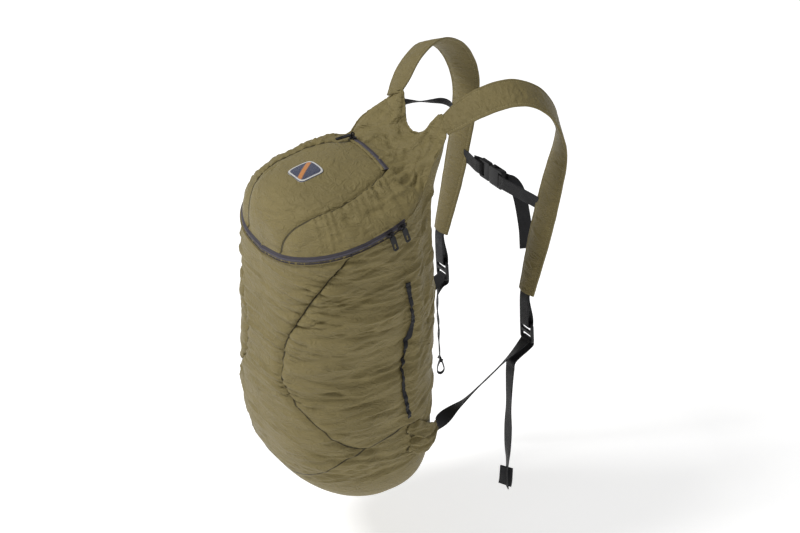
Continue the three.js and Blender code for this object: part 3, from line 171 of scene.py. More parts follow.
def column_at(table, column, t):
    """Smooth value of a table's column at t, where its first column is the key: a cubic between each
    pair of rows whose slope at a row is the slope from the row before to the row after."""
    keys, values = table[:, 0], table[:, column]
    i = np.searchsorted(keys[1:-1], t, side="left")
    span = keys[i + 1] - keys[i]
    u = np.clip((t - keys[i]) / span, 0, 1)
    before = np.maximum(i - 1, 0)
    after = np.minimum(i + 2, len(keys) - 1)
    slope_0 = (values[i + 1] - values[before]) / (keys[i + 1] - keys[before])
    slope_1 = (values[after] - values[i]) / (keys[after] - keys[i])
    h = u * u * (3 - 2 * u)
    bend = u * (1 - u) * (1 - u) * span * slope_0 - u * u * (1 - u) * span * slope_1
    return values[i] * (1 - h) + values[i + 1] * h + bend


def smooth(t, low, high):
    """0 below low, 1 above high, and a smooth cubic between."""
    u = np.clip((t - low) / (high - low), 0, 1)
    return u * u * (3 - 2 * u)


def mixed(a, b, t):
    """a where t is 0 and b where it is 1, in a straight line between."""
    return a + (b - a) * t


def folded(angle):
    """An angle round the bag brought into the tables' half, -90 to 90, and the side it was on."""
    whole = np.mod(angle + 90, 360) - 90
    return np.where(whole > 90, 180 - whole, whole), np.where(whole > 90, -1.0, 1.0)


def rim_point(angle):
    """The seam under the lid at an angle: shares of the half width and depths, and a sum of heights."""
    at, side = folded(angle)
    along = column_at(rim_table, 2, at)
    height = (zip_front + column_at(rim_table, 3, at) * (zip_side - zip_front)
              + column_at(rim_table, 4, at) * (notch - zip_side)
              + column_at(rim_table, 5, at) * (horn_tip - notch))
    return np.stack([
        side * column_at(rim_table, 1, at) * half_width,
        axis_y + along * np.where(along < 0, front_depth, back_depth),
        height,
    ], -1)


def body_section(angle, girth):
    """A point of the superellipse at a girth: |cos| and |sin| to the power 2 / squareness, times the
    half width and the depth on that side, with the base lifted towards the front."""
    radians = np.radians(angle)
    c = np.sign(np.cos(radians)) * np.abs(np.cos(radians)) ** (2 / squareness)
    s = np.sign(np.sin(radians)) * np.abs(np.sin(radians)) ** (2 / squareness)
    depth = np.where(s < 0, column_at(body_sections, 3, girth) * front_depth,
                     column_at(body_sections, 4, girth) * back_depth)
    y = axis_y + depth * s
    z = column_at(body_sections, 1, girth) * bag_height
    forwards = np.maximum(0, (axis_y - y) / front_depth)
    z = z + base_rise * forwards ** 1.5 * (1 - smooth(girth, 0.35, 0.8))
    return np.stack([column_at(body_sections, 2, girth) * half_width * c, y, z], -1)


def body_surface(angle, climb):
    """The body at an angle and a climb: 0 to 1 runs up the sections, and 1 to 2 up to the rim."""
    low = body_section(angle, np.minimum(climb, 1))
    rim = rim_point(angle)
    share = np.clip(climb - 1, 0, 1)
    lean = smooth(share, column_at(rim_table, 6, folded(angle)[0]), 1)
    high = np.stack([
        mixed(low[..., 0], rim[..., 0], smooth(share, 0, 1)),
        mixed(low[..., 1], rim[..., 1], lean),
        mixed(low[..., 2], rim[..., 2], share),
    ], -1)
    return np.where((climb > 1)[..., None], high, low)


def grid_normals(points, wrap):
    """Unit normals of a grid, from the cross product of its two central differences."""
    if wrap:
        across = np.roll(points, -1, 1) - np.roll(points, 1, 1)
    else:
        across = np.gradient(points, axis=1)
    normal = np.cross(across, np.gradient(points, axis=0))
    length = np.linalg.norm(normal, axis=-1, keepdims=True)
    return normal / np.maximum(length, 1e-9)


def ripple(s, wavelength, seed):
    """A wavy function of s, from -1 to 1: six sines of wavelengths near the given one."""
    rng = np.random.default_rng(seed)
    total = np.zeros_like(s)
    for share, phase in zip(np.linspace(0.62, 1.7, 6), rng.uniform(0, 2 * np.pi, 6)):
        total = total + np.sin(2 * np.pi * s / (wavelength * share) + phase)
    return total / 3.2


def gathers(s, away, pitch, reach, seed):
    """Puckers across a seam: ridges along s with a narrow valley between each two, steeper on their
    lower side. Each has its own height and its own reach away from the seam."""
    rng = np.random.default_rng(seed)
    turns = s / pitch + 0.8 * ripple(s, 7 * pitch, seed)
    which = np.mod(np.floor(turns).astype(int), 97)
    height, length = rng.uniform(0.3, 1, 97)[which], rng.uniform(0.45, 1.6, 97)[which]
    ridge = np.sin(np.pi * np.mod(turns, 1) ** 0.65) ** 0.8
    return height * ridge * np.exp(-(np.abs(away) / (reach * length)) ** 1.6)


def strokes(across, up, table):
    """The sum of many short creases. Each is a ridge along its own line: a bell along it and a bell
    with one steeper side across it, bent a little."""
    total = np.zeros_like(across)
    for x, y, lean, length, width, depth, bend in table:
        near = (np.abs(across - x) < 2.2 * length) & (np.abs(up - y) < 2.2 * length)
        dx, dy = across[near] - x, up[near] - y
        c, s = np.cos(np.radians(lean)), np.sin(np.radians(lean))
        u = (dx * c + dy * s) / length
        v = (dy * c - dx * s) / width + bend * u * u
        total[near] += depth * np.exp(-u * u - v * v) * (1 - 0.55 * np.tanh(2 * v))
    return total


def scattered(regions, seed):
    """Random creases for regions: bounds across and up, lean and its spread, size range and count."""
    rng = np.random.default_rng(seed)
    rows = []
    for x0, x1, y0, y1, lean, spread, length, width, depth, count in regions:
        n = int(count)
        rows.append(np.stack([
            rng.uniform(x0, x1, n), rng.uniform(y0, y1, n), rng.normal(lean, spread, n),
            length * rng.uniform(0.5, 1.5, n), width * rng.uniform(0.6, 1.5, n),
            depth * rng.uniform(0.3, 1.2, n) * rng.choice([-1, 1], n, p=[0.6, 0.4]),
            rng.normal(0, 0.5, n),
        ], -1))
    return np.concatenate(rows)


# across from and to in degrees, height from and to as shares, lean, spread, length, width and depth
# in millimetres, count
body_creases = [
    [-92, -50, 0.1, 0.78, 0, 8, 24, 3.2, 1.1, 110],
    [-56, 12, 0.12, 0.9, 5, 9, 36, 3.4, 1.9, 250],
    [8, 60, 0.15, 0.92, 16, 13, 28, 3.8, 1.9, 130],
    [60, 120, 0.1, 0.95, 10, 30, 26, 7, 1.1, 90],
    [120, 172, 0.15, 0.92, 164, 13, 28, 3.8, 1.9, 130],
    [168, 236, 0.12, 0.9, 175, 9, 36, 3.4, 1.9, 250],
    [230, 272, 0.1, 0.78, 180, 8, 24, 3.2, 1.1, 110],
]
# pitch, reach, depth, seed: the two rows of gathers at the front panel's seam
front_gathers = ((13, 38, 5.8, 3), (8, 14, 2.2, 4))
front_low, front_high = front_seam[0, 0], front_seam[-1, 0]
tape_angle = 12
mm_per_degree, mm_per_climb = np.pi / 180 * half_width, 150


def body_relief(angle, climb, points):
    """How far the cloth stands out or in: the main folds, scattered creases, a valley along each seam,
    and gathers that cross the seam and fade away from it."""
    at, _ = folded(angle)
    z = points[..., 2]
    out = np.zeros_like(z)
    for a, h, lean, length, width, depth in body_folds:
        x, y = (at - a) * mm_per_degree, z - h * bag_height
        c, s = np.cos(np.radians(lean)), np.sin(np.radians(lean))
        u = (x * c + y * s) / (length * bag_height)
        v = (y * c - x * s) / (width * half_width * 2)
        out += depth * fold_depth * np.exp(-u * u - v * v)
    unrolled = (np.mod(angle + 90, 360) - 90) * mm_per_degree
    regions = [[*np.multiply(row[:2], mm_per_degree), *np.multiply(row[2:4], bag_height), *row[4:]]
               for row in body_creases]
    out += strokes(unrolled, z, scattered(regions, 11))
    level = z / bag_height
    away = (at - column_at(front_seam, 1, np.clip(level, front_low, front_high))) * mm_per_degree
    ends = smooth(level, front_low, 0.2)
    out -= 4 * ends * np.exp(-(away / 10) ** 2)
    waist = 0.2 + 0.8 * smooth(level, 0.3, 0.42) * (1 - smooth(level, 0.78, 0.88))
    for pitch, reach, high, seed in front_gathers:
        crossing = gathers(z + 0.1 * away, away, pitch, reach, seed) * smooth(np.abs(away), 0, 3)
        out += ends * waist * high * crossing
    tape_at = (at - tape_angle) * mm_per_degree
    tape_side = smooth(level, 0.25, 0.34) * (1 - smooth(level, 0.72, 0.88))
    out += tape_side * 2.4 * gathers(z - 0.3 * tape_at, tape_at - 6, 12, 34, 9)
    below_rim = (2 - climb) * mm_per_climb
    out += 2.0 * gathers(unrolled, below_rim, 15, 20, 15) * (1 - smooth(climb, 1.9, 1.98))
    up_fade = smooth(climb, 0.1, 0.3) * (1 - smooth(climb, 1.86, 2.0))
    rim_near = np.exp(-(below_rim / 14) ** 2)
    pucker = 0.5 * rim_near * ripple(unrolled, 8, 5) * (1 - smooth(climb, 1.97, 2.0))
    return out * up_fade + pucker


def mesh_object(name, points, faces, uv=None):
    """A mesh object from points in metres and faces, smooth shaded, with uv given per point."""
    mesh = bpy.data.meshes.new(name)
    mesh.from_pydata(points.tolist(), [], faces.tolist())
    mesh.shade_smooth()
    if uv is not None:
        layer = mesh.uv_layers.new(name="UVMap")
        corner = np.empty(len(mesh.loops), np.int32)
        mesh.loops.foreach_get("vertex_index", corner)
        layer.data.foreach_set("uv", uv[corner].astype(np.float32).ravel())
    obj = bpy.data.objects.new(name, mesh)
    scene.collection.objects.link(obj)
    return obj


def seams_on(obj, distances):
    """Stores up to two signed distances to a seam, in millimetres, as the points' own values."""
    values = np.full((distances[0].size, 3), no_seam, np.float32)
    for k, distance in enumerate(distances):
        values[:, k] = np.broadcast_to(distance, distances[0].shape).ravel()
    obj.data.attributes.new("seams", "FLOAT_VECTOR", "POINT").data.foreach_set("vector", values.ravel())


def grid_faces(rows, columns, wrap):
    """Quads of a grid whose rows follow one another, joined round if it wraps."""
    last = columns if wrap else columns - 1
    i, j = np.meshgrid(np.arange(rows - 1), np.arange(last), indexing="ij")
    k = (j + 1) % columns
    row, after = i * columns, (i + 1) * columns
    return np.stack([row + j, row + k, after + k, after + j], -1).reshape(-1, 4)


def welded(obj, inside, reach=1e-6):
    """Merges points that coincide, such as a pole's, and turns the faces to point away from a point
    inside, given in the bag's own frame."""
    work = bmesh.new()
    work.from_mesh(obj.data)
    bmesh.ops.remove_doubles(work, verts=work.verts, dist=reach)
    bmesh.ops.dissolve_degenerate(work, edges=work.edges, dist=reach)
    work.to_mesh(obj.data)
    work.free()
    count = len(obj.data.polygons)
    centres, normals = np.empty(count * 3, np.float32), np.empty(count * 3, np.float32)
    obj.data.polygons.foreach_get("center", centres)
    obj.data.polygons.foreach_get("normal", normals)
    if ((centres.reshape(-1, 3) - metres(np.array(inside))) * normals.reshape(-1, 3)).sum() < 0:
        obj.data.flip_normals()


def metres(points):
    """Points of the bag's own frame, in millimetres, as row-frame points in metres."""
    return (points - shoulder_rest) / 1000


body_columns, body_rows, section_rows = 296, 326, 168
hem_depth = 2.5
body_angles = -90 + 360 * np.arange(body_columns) / body_columns
body_climbs = np.concatenate([np.linspace(0, 1, section_rows, endpoint=False),
                              np.linspace(1, 2, body_rows - section_rows)])
body_angle, body_climb = np.meshgrid(body_angles, body_climbs)
body = body_surface(body_angle, body_climb)
body_zip_edge = np.where(folded(body_angles)[0] <= 9, zip_width / 2, 0.3)
down_edge = body[-2] - body[-1]
body[-1] = body[-1] + down_edge * (body_zip_edge / np.linalg.norm(down_edge, axis=-1))[:, None]
body += grid_normals(body, True) * body_relief(body_angle, body_climb, body)[..., None]
hem = [body[-1] - hem_depth * k * grid_normals(body, True)[-1] for k in (0.5, 1)]
body = np.concatenate([body, np.stack(hem)])
body_uv = np.stack([np.tile(body_angles * mm_per_degree / 1000, len(body)),
                    metres(body)[..., 2].ravel()], -1)
bag = mesh_object("bag_shell", metres(body).reshape(-1, 3), grid_faces(len(body), body_columns, True),
                  body_uv)
seam_angle, _ = folded(np.broadcast_to(body_angles, body.shape[:2]))
seam_level = body[..., 2] / bag_height
front_levels, front_step = np.linspace(front_low, front_high, 75), 0.01
front_slope = np.gradient(column_at(front_seam, 1, front_levels)) * mm_per_degree / bag_height / front_step
front_lean = np.interp(seam_level, front_levels, front_slope)
front_at = column_at(front_seam, 1, np.clip(seam_level, front_low, front_high))
front_away = (seam_angle - front_at) * mm_per_degree / np.hypot(1, front_lean)
past_seam = (seam_level < column_at(base_seam, 1, seam_angle)) | (seam_level > 0.86)
front_away = np.where(past_seam, np.copysign(no_seam, front_away), front_away)
base_away = (seam_level - column_at(base_seam, 1, seam_angle)) * bag_height
seams_on(bag, [front_away, base_away])
welded(bag, [0, axis_y, 250])
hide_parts("bag_body")
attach(bag, "pack")


def node_group(name, inputs, outputs):
    """An empty shader node group with float inputs (name, default) and float outputs."""
    group = bpy.data.node_groups.new(name, "ShaderNodeTree")
    for title, default in inputs:
        socket = group.interface.new_socket(title, in_out="INPUT", socket_type="NodeSocketFloat")
        socket.default_value = default
    for title in outputs:
        group.interface.new_socket(title, in_out="OUTPUT", socket_type="NodeSocketFloat")
    return group, group.nodes.new("NodeGroupInput"), group.nodes.new("NodeGroupOutput")


def joined(tree, kind, operation=None, **wires):
    """A new node of a kind in a tree, with its inputs wired or set by name: _0 and _1 are by number."""
    node = tree.nodes.new(kind)
    if operation:
        node.operation = operation
    for key, value in wires.items():
        socket = node.inputs[int(key[1:])] if key[0] == "_" else node.inputs[key.replace("_", " ")]
        if isinstance(value, bpy.types.NodeSocket):
            tree.links.new(value, socket)
        else:
            socket.default_value = value
    return node


def worked(tree, operation, *values):
    """The result of a math node in a tree, from its values or sockets."""
    wires = {f"_{k}": value for k, value in enumerate(values)}
    return joined(tree, "ShaderNodeMath", operation, **wires).outputs[0]


def grouped(tree, group, **values):
    """A node in a tree that stands for a shader node group, with its inputs set by name."""
    node = tree.nodes.new("ShaderNodeGroup")
    node.node_tree = group
    for key, value in values.items():
        node.inputs[key.replace("_", " ")].default_value = value
    return node


def tinted(tree, factor, low, high):
    """A mix of two colours or sockets: low where the factor is 0 and high where it is 1."""
    mix = joined(tree, "ShaderNodeMix", Factor=factor)
    mix.data_type = "RGBA"
    for key, value in (("A", low), ("B", high)):
        if isinstance(value, bpy.types.NodeSocket):
            tree.links.new(value, mix.inputs[key])
        else:
            mix.inputs[key].default_value = (*value, 1)
    return mix.outputs["Result"]


# Crumple: soft small creases of thin cloth, from stretched noise of three sizes, and the faint
# unevenness of its dye. Size is in metres.
crumple, crumple_in, crumple_out = node_group("crumple", [("Size", 0.01)], ["Height", "Dye"])
crumple_place = joined(crumple, "ShaderNodeVectorMath", "MULTIPLY", _1=(1.0, 1.0, 2.2),
                       _0=joined(crumple, "ShaderNodeTexCoord").outputs["Object"]).outputs[0]
crumple_scale = worked(crumple, "DIVIDE", 1.0, crumple_in.outputs["Size"])
crumple_big = joined(crumple, "ShaderNodeTexNoise", Vector=crumple_place, Scale=crumple_scale, Detail=4.0,
                     Roughness=0.55, Distortion=1.2)
crumple_ridge = worked(crumple, "ABSOLUTE", worked(crumple, "SUBTRACT", crumple_big.outputs[0], 0.5))
crumple.links.new(crumple_ridge, crumple_out.inputs["Height"])
crumple_dye = joined(crumple, "ShaderNodeTexNoise", Vector=crumple_place, Scale=14.0, Detail=5.0,
                     Roughness=0.6)
crumple.links.new(crumple_dye.outputs[0], crumple_out.inputs["Dye"])

# Weave: two sets of fine waves at right angles, over and under, on the piece's own UV in metres.
full_turn = 6.2832
weave, weave_in, weave_out = node_group("plain_weave", [("Pitch", 0.0006)], ["Height"])
weave_uv = joined(weave, "ShaderNodeSeparateXYZ", _0=joined(weave, "ShaderNodeTexCoord").outputs["UV"])
weave_turn = worked(weave, "DIVIDE", full_turn, weave_in.outputs["Pitch"])
weave_waves = [worked(weave, "SINE", worked(weave, "MULTIPLY", weave_uv.outputs[axis], weave_turn))
               for axis in (0, 1)]
weave.links.new(worked(weave, "MULTIPLY", *weave_waves), weave_out.inputs["Height"])

# Seam line: a thin dark line of needle holes and shadow, where the distance stored on the surface is
# nearly nothing.
seam_line, seam_in, seam_out = node_group("seam_line", [("Half Width", 0.9)], ["Mask"])
seam_stored = seam_line.nodes.new("ShaderNodeAttribute")
seam_stored.attribute_name = "seams"
seam_parts = joined(seam_line, "ShaderNodeSeparateXYZ", _0=joined(
    seam_line, "ShaderNodeVectorMath", "ABSOLUTE", _0=seam_stored.outputs["Vector"]).outputs[0])
seam_near = worked(seam_line, "MINIMUM", seam_parts.outputs[0], seam_parts.outputs[1])
seam_edge = worked(seam_line, "ADD", seam_in.outputs["Half Width"], 0.5)
seam_mask = joined(seam_line, "ShaderNodeMapRange", _0=seam_near, _1=seam_in.outputs["Half Width"],
                   _2=seam_edge, _3=1.0, _4=0.0)
seam_line.links.new(seam_mask.outputs[0], seam_out.inputs["Mask"])


def marked(material, mask, colour, height, strength=1.0, sunk=False):
    """Lays a mask's marks on a woven material: they have their own colour, and stand out or are sunk."""
    tree = material.node_tree
    shader = tree.nodes["Principled BSDF"]
    under = shader.inputs["Base Color"].links[0].from_socket
    tree.links.new(tinted(tree, mask, under, colour), shader.inputs["Base Color"])
    bump = joined(tree, "ShaderNodeBump", Distance=height, Height=mask, Strength=strength,
                  Normal=shader.inputs["Normal"].links[0].from_socket)
    bump.invert = sunk
    tree.links.new(bump.outputs[0], shader.inputs["Normal"])
    return material


def sewn_cloth(name, *values):
    """Woven cloth with its seam lines, which are darker and sunk."""
    material = fabric_material(name, *values)
    line = grouped(material.node_tree, seam_line, Half_Width=0.75)
    return marked(material, line.outputs["Mask"], (0.06, 0.048, 0.02), 0.001, 0.6, True)


def fabric_material(name, colour, darker, roughness, sheen, crumple_size, crumple_depth, pitch, weave_depth):
    """Woven cloth: the crumple and weave groups feed its bump, and the dye its colour and gloss."""
    material, tree, shader = new_material(name)
    creased = grouped(tree, crumple, Size=crumple_size)
    woven = grouped(tree, weave, Pitch=pitch)
    ramp = tree.nodes.new("ShaderNodeValToRGB")
    ramp.color_ramp.elements[0].position = 0.3
    ramp.color_ramp.elements[0].color = (*darker, 1)
    ramp.color_ramp.elements[1].position = 0.7
    ramp.color_ramp.elements[1].color = (*colour, 1)
    tree.links.new(creased.outputs["Dye"], ramp.inputs[0])
    tree.links.new(ramp.outputs[0], shader.inputs["Base Color"])
    gloss = joined(tree, "ShaderNodeMapRange", _0=creased.outputs["Dye"], _1=0.3, _2=0.7,
                   _3=roughness - 0.06, _4=roughness + 0.06)
    tree.links.new(gloss.outputs[0], shader.inputs["Roughness"])
    shader.inputs["Sheen Weight"].default_value = sheen
    shader.inputs["Sheen Roughness"].default_value = 0.4
    shader.inputs["Specular IOR Level"].default_value = 0.3
    fine = joined(tree, "ShaderNodeBump", Distance=weave_depth, Height=woven.outputs["Height"], Strength=0.6)
    broad = joined(tree, "ShaderNodeBump", Distance=crumple_depth, Height=creased.outputs["Height"],
                   Normal=fine.outputs[0], Strength=0.8)
    tree.links.new(broad.outputs[0], shader.inputs["Normal"])
    return material


olive_cloth = ((0.212, 0.17, 0.067), (0.186, 0.149, 0.058), 0.55, 0.03, 0.02, 0.007, 0.0009, 0.00012)
nylon = sewn_cloth("olive_nylon", *olive_cloth)
plain_nylon = fabric_material("plain_nylon", *olive_cloth)
bag.data.materials.append(nylon)

# Lid: a dome of the same nylon in three panels, whose back corners rise as two horns to the shoulder
# straps. Each rib runs from one side's rim over the middle to the other side's.
# angle, middle y, middle height, squareness, hollow
lid_table = np.array([
    [-90, -215.6, 418.5, 2.2, 0],
    [-81, -214.2, 449, 2.1, 0],
    [-72, -211.5, 464, 2.0, 0],
    [-52, -193.3, 493, 1.75, 0],
    [-30, -160, 509, 1.65, 0],
    [-10, -116.6, 515, 1.65, 0],
    [7, -70, 516, 1.7, 0],
    [26, -42, 513.5, 1.7, 0.1],
    [41, -20, 512, 1.7, 0.6],
    [46, -10, 512, 1.7, 0.85],
    [52, 0, 512.5, 1.7, 1],
    [62, 12, 515, 1.7, 1],
    [70, 20, 517.5, 1.7, 1],
    [80, 27, 520.5, 1.7, 1],
    [90, 31.7, 522.8, 1.7, 1],
])
# angle, half width of the middle panel
lid_seam = np.array([
    [-90, 30], [-76, 42], [-52, 62], [-30, 76], [-20, 80], [-10, 79], [7, 66], [20, 54], [26, 50], [41, 44],
])
lid_seam_end = lid_seam[-1, 0]
# across, back, lean, length, width, depth, bend: the lid's main folds on the near side, seen from above
lid_folds = np.array([
    [78, 8, 75, 26, 7, 2.6, 0],
    [66, 14, 78, 30, 6, -2.2, 0.2],
    [88, -22, 70, 24, 6, -2.0, 0],
    [98, -42, 80, 22, 7, 1.6, 0],
    [60, -12, 66, 24, 8, 1.6, 0.2],
    [104, -90, 95, 22, 7, -1.2, 0],
    [100, -120, 110, 24, 8, 1.2, 0],
    [40, 4, 55, 26, 8, -1.4, 0.3],
    [24, 18, 30, 20, 6, 1.2, 0.2],
    [70, -7, 140, 24, 3.2, -5.5, 0.1],
    [76, -9, 140, 24, 5, 3.2, 0.1],
    [82, -26, 120, 24, 4, 2.4, 0.2],
    [62, -34, 110, 20, 4, -2.2, 0.1],
    [52, 26, 40, 16, 3.4, -2.4, 0.2],
    [60, 34, 20, 16, 3.4, 2.0, 0.2],
    [64, 22, 60, 14, 3.0, -2.6, 0.3],
    [14, 0, 20, 20, 5, -2.0, 0.3],
    [32, -8, 140, 18, 4, 2.2, 0.2],
])


def lid_rim(angle):
    """The lid's lower edge: the rim, moved up and inwards to make room for the zip."""
    rim = rim_point(angle)
    inwards = np.array([0.0, axis_y, 0.0]) - rim
    inwards[..., 2] = 0
    inwards /= np.linalg.norm(inwards, axis=-1, keepdims=True)
    way = 0.3 * inwards + np.array([0, 0, 0.954])
    room = mixed(zip_width / 2, 0.2, smooth(folded(angle)[0], 6.5, 9.5))
    return rim + way * room[..., None]


def lid_surface(angle, across):
    """A rib's point at across, -1 to 1: the depth below its middle is 1 - (1 - |x|^n)^(1/n) of the
    rise on the dome, and |x|^2 of it where the rib hangs between the horns."""
    rim = lid_rim(angle)
    x = np.sin(across * np.pi / 2)
    n = column_at(lid_table, 3, angle)
    dome = 1 - (1 - np.abs(x) ** n) ** (1 / n)
    hollow = column_at(lid_table, 4, angle)
    fall = mixed(dome, x * x, hollow)
    middle_y, middle_z = column_at(lid_table, 1, angle), column_at(lid_table, 2, angle)
    return np.stack([
        rim[..., 0] * x,
        mixed(middle_y, rim[..., 1], x * x),
        mixed(middle_z, rim[..., 2], fall),
    ], -1)


lid_creases = [
    [-95, 95, -205, -60, 20, 40, 20, 6, 0.4, 40],
    [60, 132, -200, -40, 60, 20, 20, 4.5, 1.1, 70],
    [-132, -60, -200, -40, 120, 20, 20, 4.5, 1.1, 70],
    [20, 110, -50, 50, 80, 30, 18, 4, 1.4, 64],
    [-110, -20, -50, 50, 100, 30, 18, 4, 1.1, 50],
    [-45, 45, -24, 30, 40, 60, 12, 4, 1.5, 40],
]


def lid_relief(angle, across, points):
    """How far the lid's cloth stands out: its folds, scattered creases, the valley of the panel's
    seam, and gathers that start at the seam and run down to the rim."""
    x, y = points[..., 0], points[..., 1]
    edge = 1 - np.abs(across)
    mirrored = lid_folds * [-1, 1, 1, 1, 1, 0.8, 1]
    mirrored[:, 2] = 180 - mirrored[:, 2]
    out = strokes(x, y, np.concatenate([lid_folds, mirrored, scattered(lid_creases, 23)]))
    away = np.abs(x) - column_at(lid_seam, 1, np.minimum(angle, lid_seam_end))
    on = 1 - smooth(angle, 24, 34)
    out -= on * 1.0 * np.exp(-(away / 1.6) ** 2) + on * 2.4 * np.exp(-((away - 2) / 8) ** 2)
    along = -y - 0.2 * np.abs(x)
    gathered = smooth(angle, -50, -26) * on
    outer = smooth(away, 0, 3) * gathers(along, away, 10, 24, 7) * 7.0
    inner = smooth(-away, 0, 3) * gathers(along, away, 7, 6, 8) * 1.2
    out += gathered * (outer + inner)
    out += 1.5 * smooth(angle, -60, -20) * gathers(along, edge * 130, 14, 40, 19) * smooth(edge, 0.02, 0.12)
    return out * smooth(edge, 0.0, 0.07)


lid_columns = 301
rib_angles = body_angles[: body_columns // 2 + 1]
rib_across, rib_angle = np.meshgrid(np.linspace(-1, 1, lid_columns), rib_angles)
lid = lid_surface(rib_angle, rib_across)
lid_normals = grid_normals(lid, False)
lid_normals[0], lid_normals[-1] = lid_normals[1], lid_normals[-2]
lid_normals *= np.sign(lid_normals[..., 2:3].mean())
lid += lid_normals * lid_relief(rib_angle, rib_across, lid)[..., None]
lid_cloth = mesh_object("lid_cloth", metres(lid).reshape(-1, 3), grid_faces(*lid.shape[:2], False),
                        metres(lid)[..., :2].reshape(-1, 2))
lid_away = (np.abs(lid[..., 0]) - column_at(lid_seam, 1, np.minimum(rib_angle, lid_seam_end))) / 1.15
lid_away = np.where(rib_angle > 27, np.copysign(no_seam, lid_away), lid_away)
seams_on(lid_cloth, [lid_away])
welded(lid_cloth, [0, axis_y, 380])
lid_cloth.data.materials.append(nylon)
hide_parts("lid")
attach(lid_cloth, "pack")

# Main zip: a dark grey-purple coil zip on woven tape, sewn between the lid and the body round the
# front and both sides. Its coil stands up in the middle, and the tape lies under both cloth edges.
zip_colour = (0.042, 0.036, 0.046)
coil_pitch = 1.5


def resampled(line, spacing):
    """Rows at even distances along a line, with a cubic between the given rows. The first three
    columns are the place, and the others are carried along with it."""
    steps = np.linalg.norm(np.diff(line[:, :3], axis=0), axis=1) ** 0.75
    keys = np.concatenate([[0], np.cumsum(steps)])
    fine = np.linspace(0, keys[-1], 40 * len(line))
    table = np.column_stack([keys, line])
    dense = np.stack([column_at(table, k + 1, fine) for k in range(line.shape[1])], -1)
    length = np.concatenate([[0], np.cumsum(np.linalg.norm(np.diff(dense[:, :3], axis=0), axis=1))])
    even = np.linspace(0, length[-1], max(int(length[-1] / spacing), 4) + 1)
    return np.stack([np.interp(even, length, column) for column in dense.T], -1), even


def unit(vectors):
    """Vectors at length 1."""
    return vectors / np.maximum(np.linalg.norm(vectors, axis=-1, keepdims=True), 1e-9)


def carried(vectors, count):
    """Vectors along a line, spread evenly over a new count of places and brought to length 1."""
    new, old = np.linspace(0, 1, count), np.linspace(0, 1, len(vectors))
    return unit(np.stack([np.interp(new, old, column) for column in vectors.T], -1))


def closed_band(name, middle, across, outwards, shape_across, shape_out, uv_across, uv_along, material):
    """A band with a closed section swept along a line: each section point lies at its distances along
    the two directions there."""
    ring = (middle[:, None] + across[:, None] * shape_across[..., None]
            + outwards[:, None] * shape_out[..., None])
    return closed_rings(name, ring, uv_across, uv_along, material)


def closed_rings(name, ring, uv_across, uv_along, material):
    """A closed surface through rings of points, in rows. Each end ring is closed to its middle."""
    caps = ring.mean(1, keepdims=True)
    first, last = (np.broadcast_to(cap, ring[:1].shape) for cap in (caps[:1], caps[-1:]))
    ring = np.concatenate([first, ring, last])
    rows, count = ring.shape[:2]
    ring = np.concatenate([ring, ring[:, :1]], 1)
    along = np.concatenate([uv_along[:1], uv_along, uv_along[-1:]])
    uv = np.stack([np.broadcast_to(np.append(uv_across, uv_across[0]), (rows, count + 1)),
                   np.broadcast_to(along[:, None], (rows, count + 1))], -1)
    obj = mesh_object(name, metres(ring).reshape(-1, 3), grid_faces(rows, count + 1, False),
                      uv.reshape(-1, 2))
    work = bmesh.new()
    work.from_mesh(obj.data)
    bmesh.ops.remove_doubles(work, verts=work.verts, dist=1e-7)
    bmesh.ops.recalc_face_normals(work, faces=work.faces)
    work.to_mesh(obj.data)
    work.free()
    obj.data.materials.append(material)
    return obj


def zip_section(width, along, coil_height):
    """The zip's section: a flat tape, a coil in its middle whose two rows of turns alternate, and a
    flat underside. It gives each section point's place across and out, by row along the zip."""
    top, under = np.linspace(-1, 1, 29), np.linspace(1, -1, 7)
    share = top[None, :] * width / 2
    turn = np.sin(2 * np.pi * along[:, None] / coil_pitch + np.where(top > 0, np.pi, 0.0)[None, :])
    coil = np.exp(-(np.abs(top) / 0.26) ** 4)[None, :]
    groove = np.exp(-(top / 0.045) ** 2)[None, :]
    out = 0.35 + coil * (coil_height + 0.28 * turn) - 0.55 * groove
    low = np.broadcast_to(under[None, :] * width / 2, (len(along), len(under)))
    across = np.concatenate([np.broadcast_to(share, out.shape), low], 1)
    out = np.concatenate([out, np.full(low.shape, -0.9)], 1)
    return across, out, np.concatenate([top, under]) * width / 2000


def coil_zip_material():
    """Woven tape with a moulded coil: the tape's ribs run across it, and the coil is glossier."""
    material, tree, shader = new_material("coil_zip")
    uv = joined(tree, "ShaderNodeSeparateXYZ", _0=joined(tree, "ShaderNodeTexCoord").outputs["UV"])
    middle = worked(tree, "ABSOLUTE", uv.outputs[0])
    on_coil = joined(tree, "ShaderNodeMapRange", _0=middle, _1=0.0011, _2=0.0016, _3=1.0, _4=0.0).outputs[0]
    tree.links.new(tinted(tree, on_coil, zip_colour, (0.075, 0.068, 0.088)), shader.inputs["Base Color"])
    gloss = joined(tree, "ShaderNodeMapRange", _0=on_coil, _1=0.0, _2=1.0, _3=0.75, _4=0.38)
    tree.links.new(gloss.outputs[0], shader.inputs["Roughness"])
    woven = grouped(tree, weave, Pitch=0.0008)
    bump = joined(tree, "ShaderNodeBump", Distance=0.00015, Height=woven.outputs["Height"], Strength=0.6)
    tree.links.new(bump.outputs[0], shader.inputs["Normal"])
    return material


coil_zip = coil_zip_material()
zip_angles = np.linspace(-187.8, 7.8, 260)
body_edge_columns = np.mod((zip_angles + 90) / 360 * body_columns, body_columns)


def around(line, at):
    """A closed line's place at fractional positions, in a straight line between its points."""
    low = np.floor(at).astype(int)
    part = (at - low)[:, None]
    return line[low % len(line)] * (1 - part) + line[(low + 1) % len(line)] * part


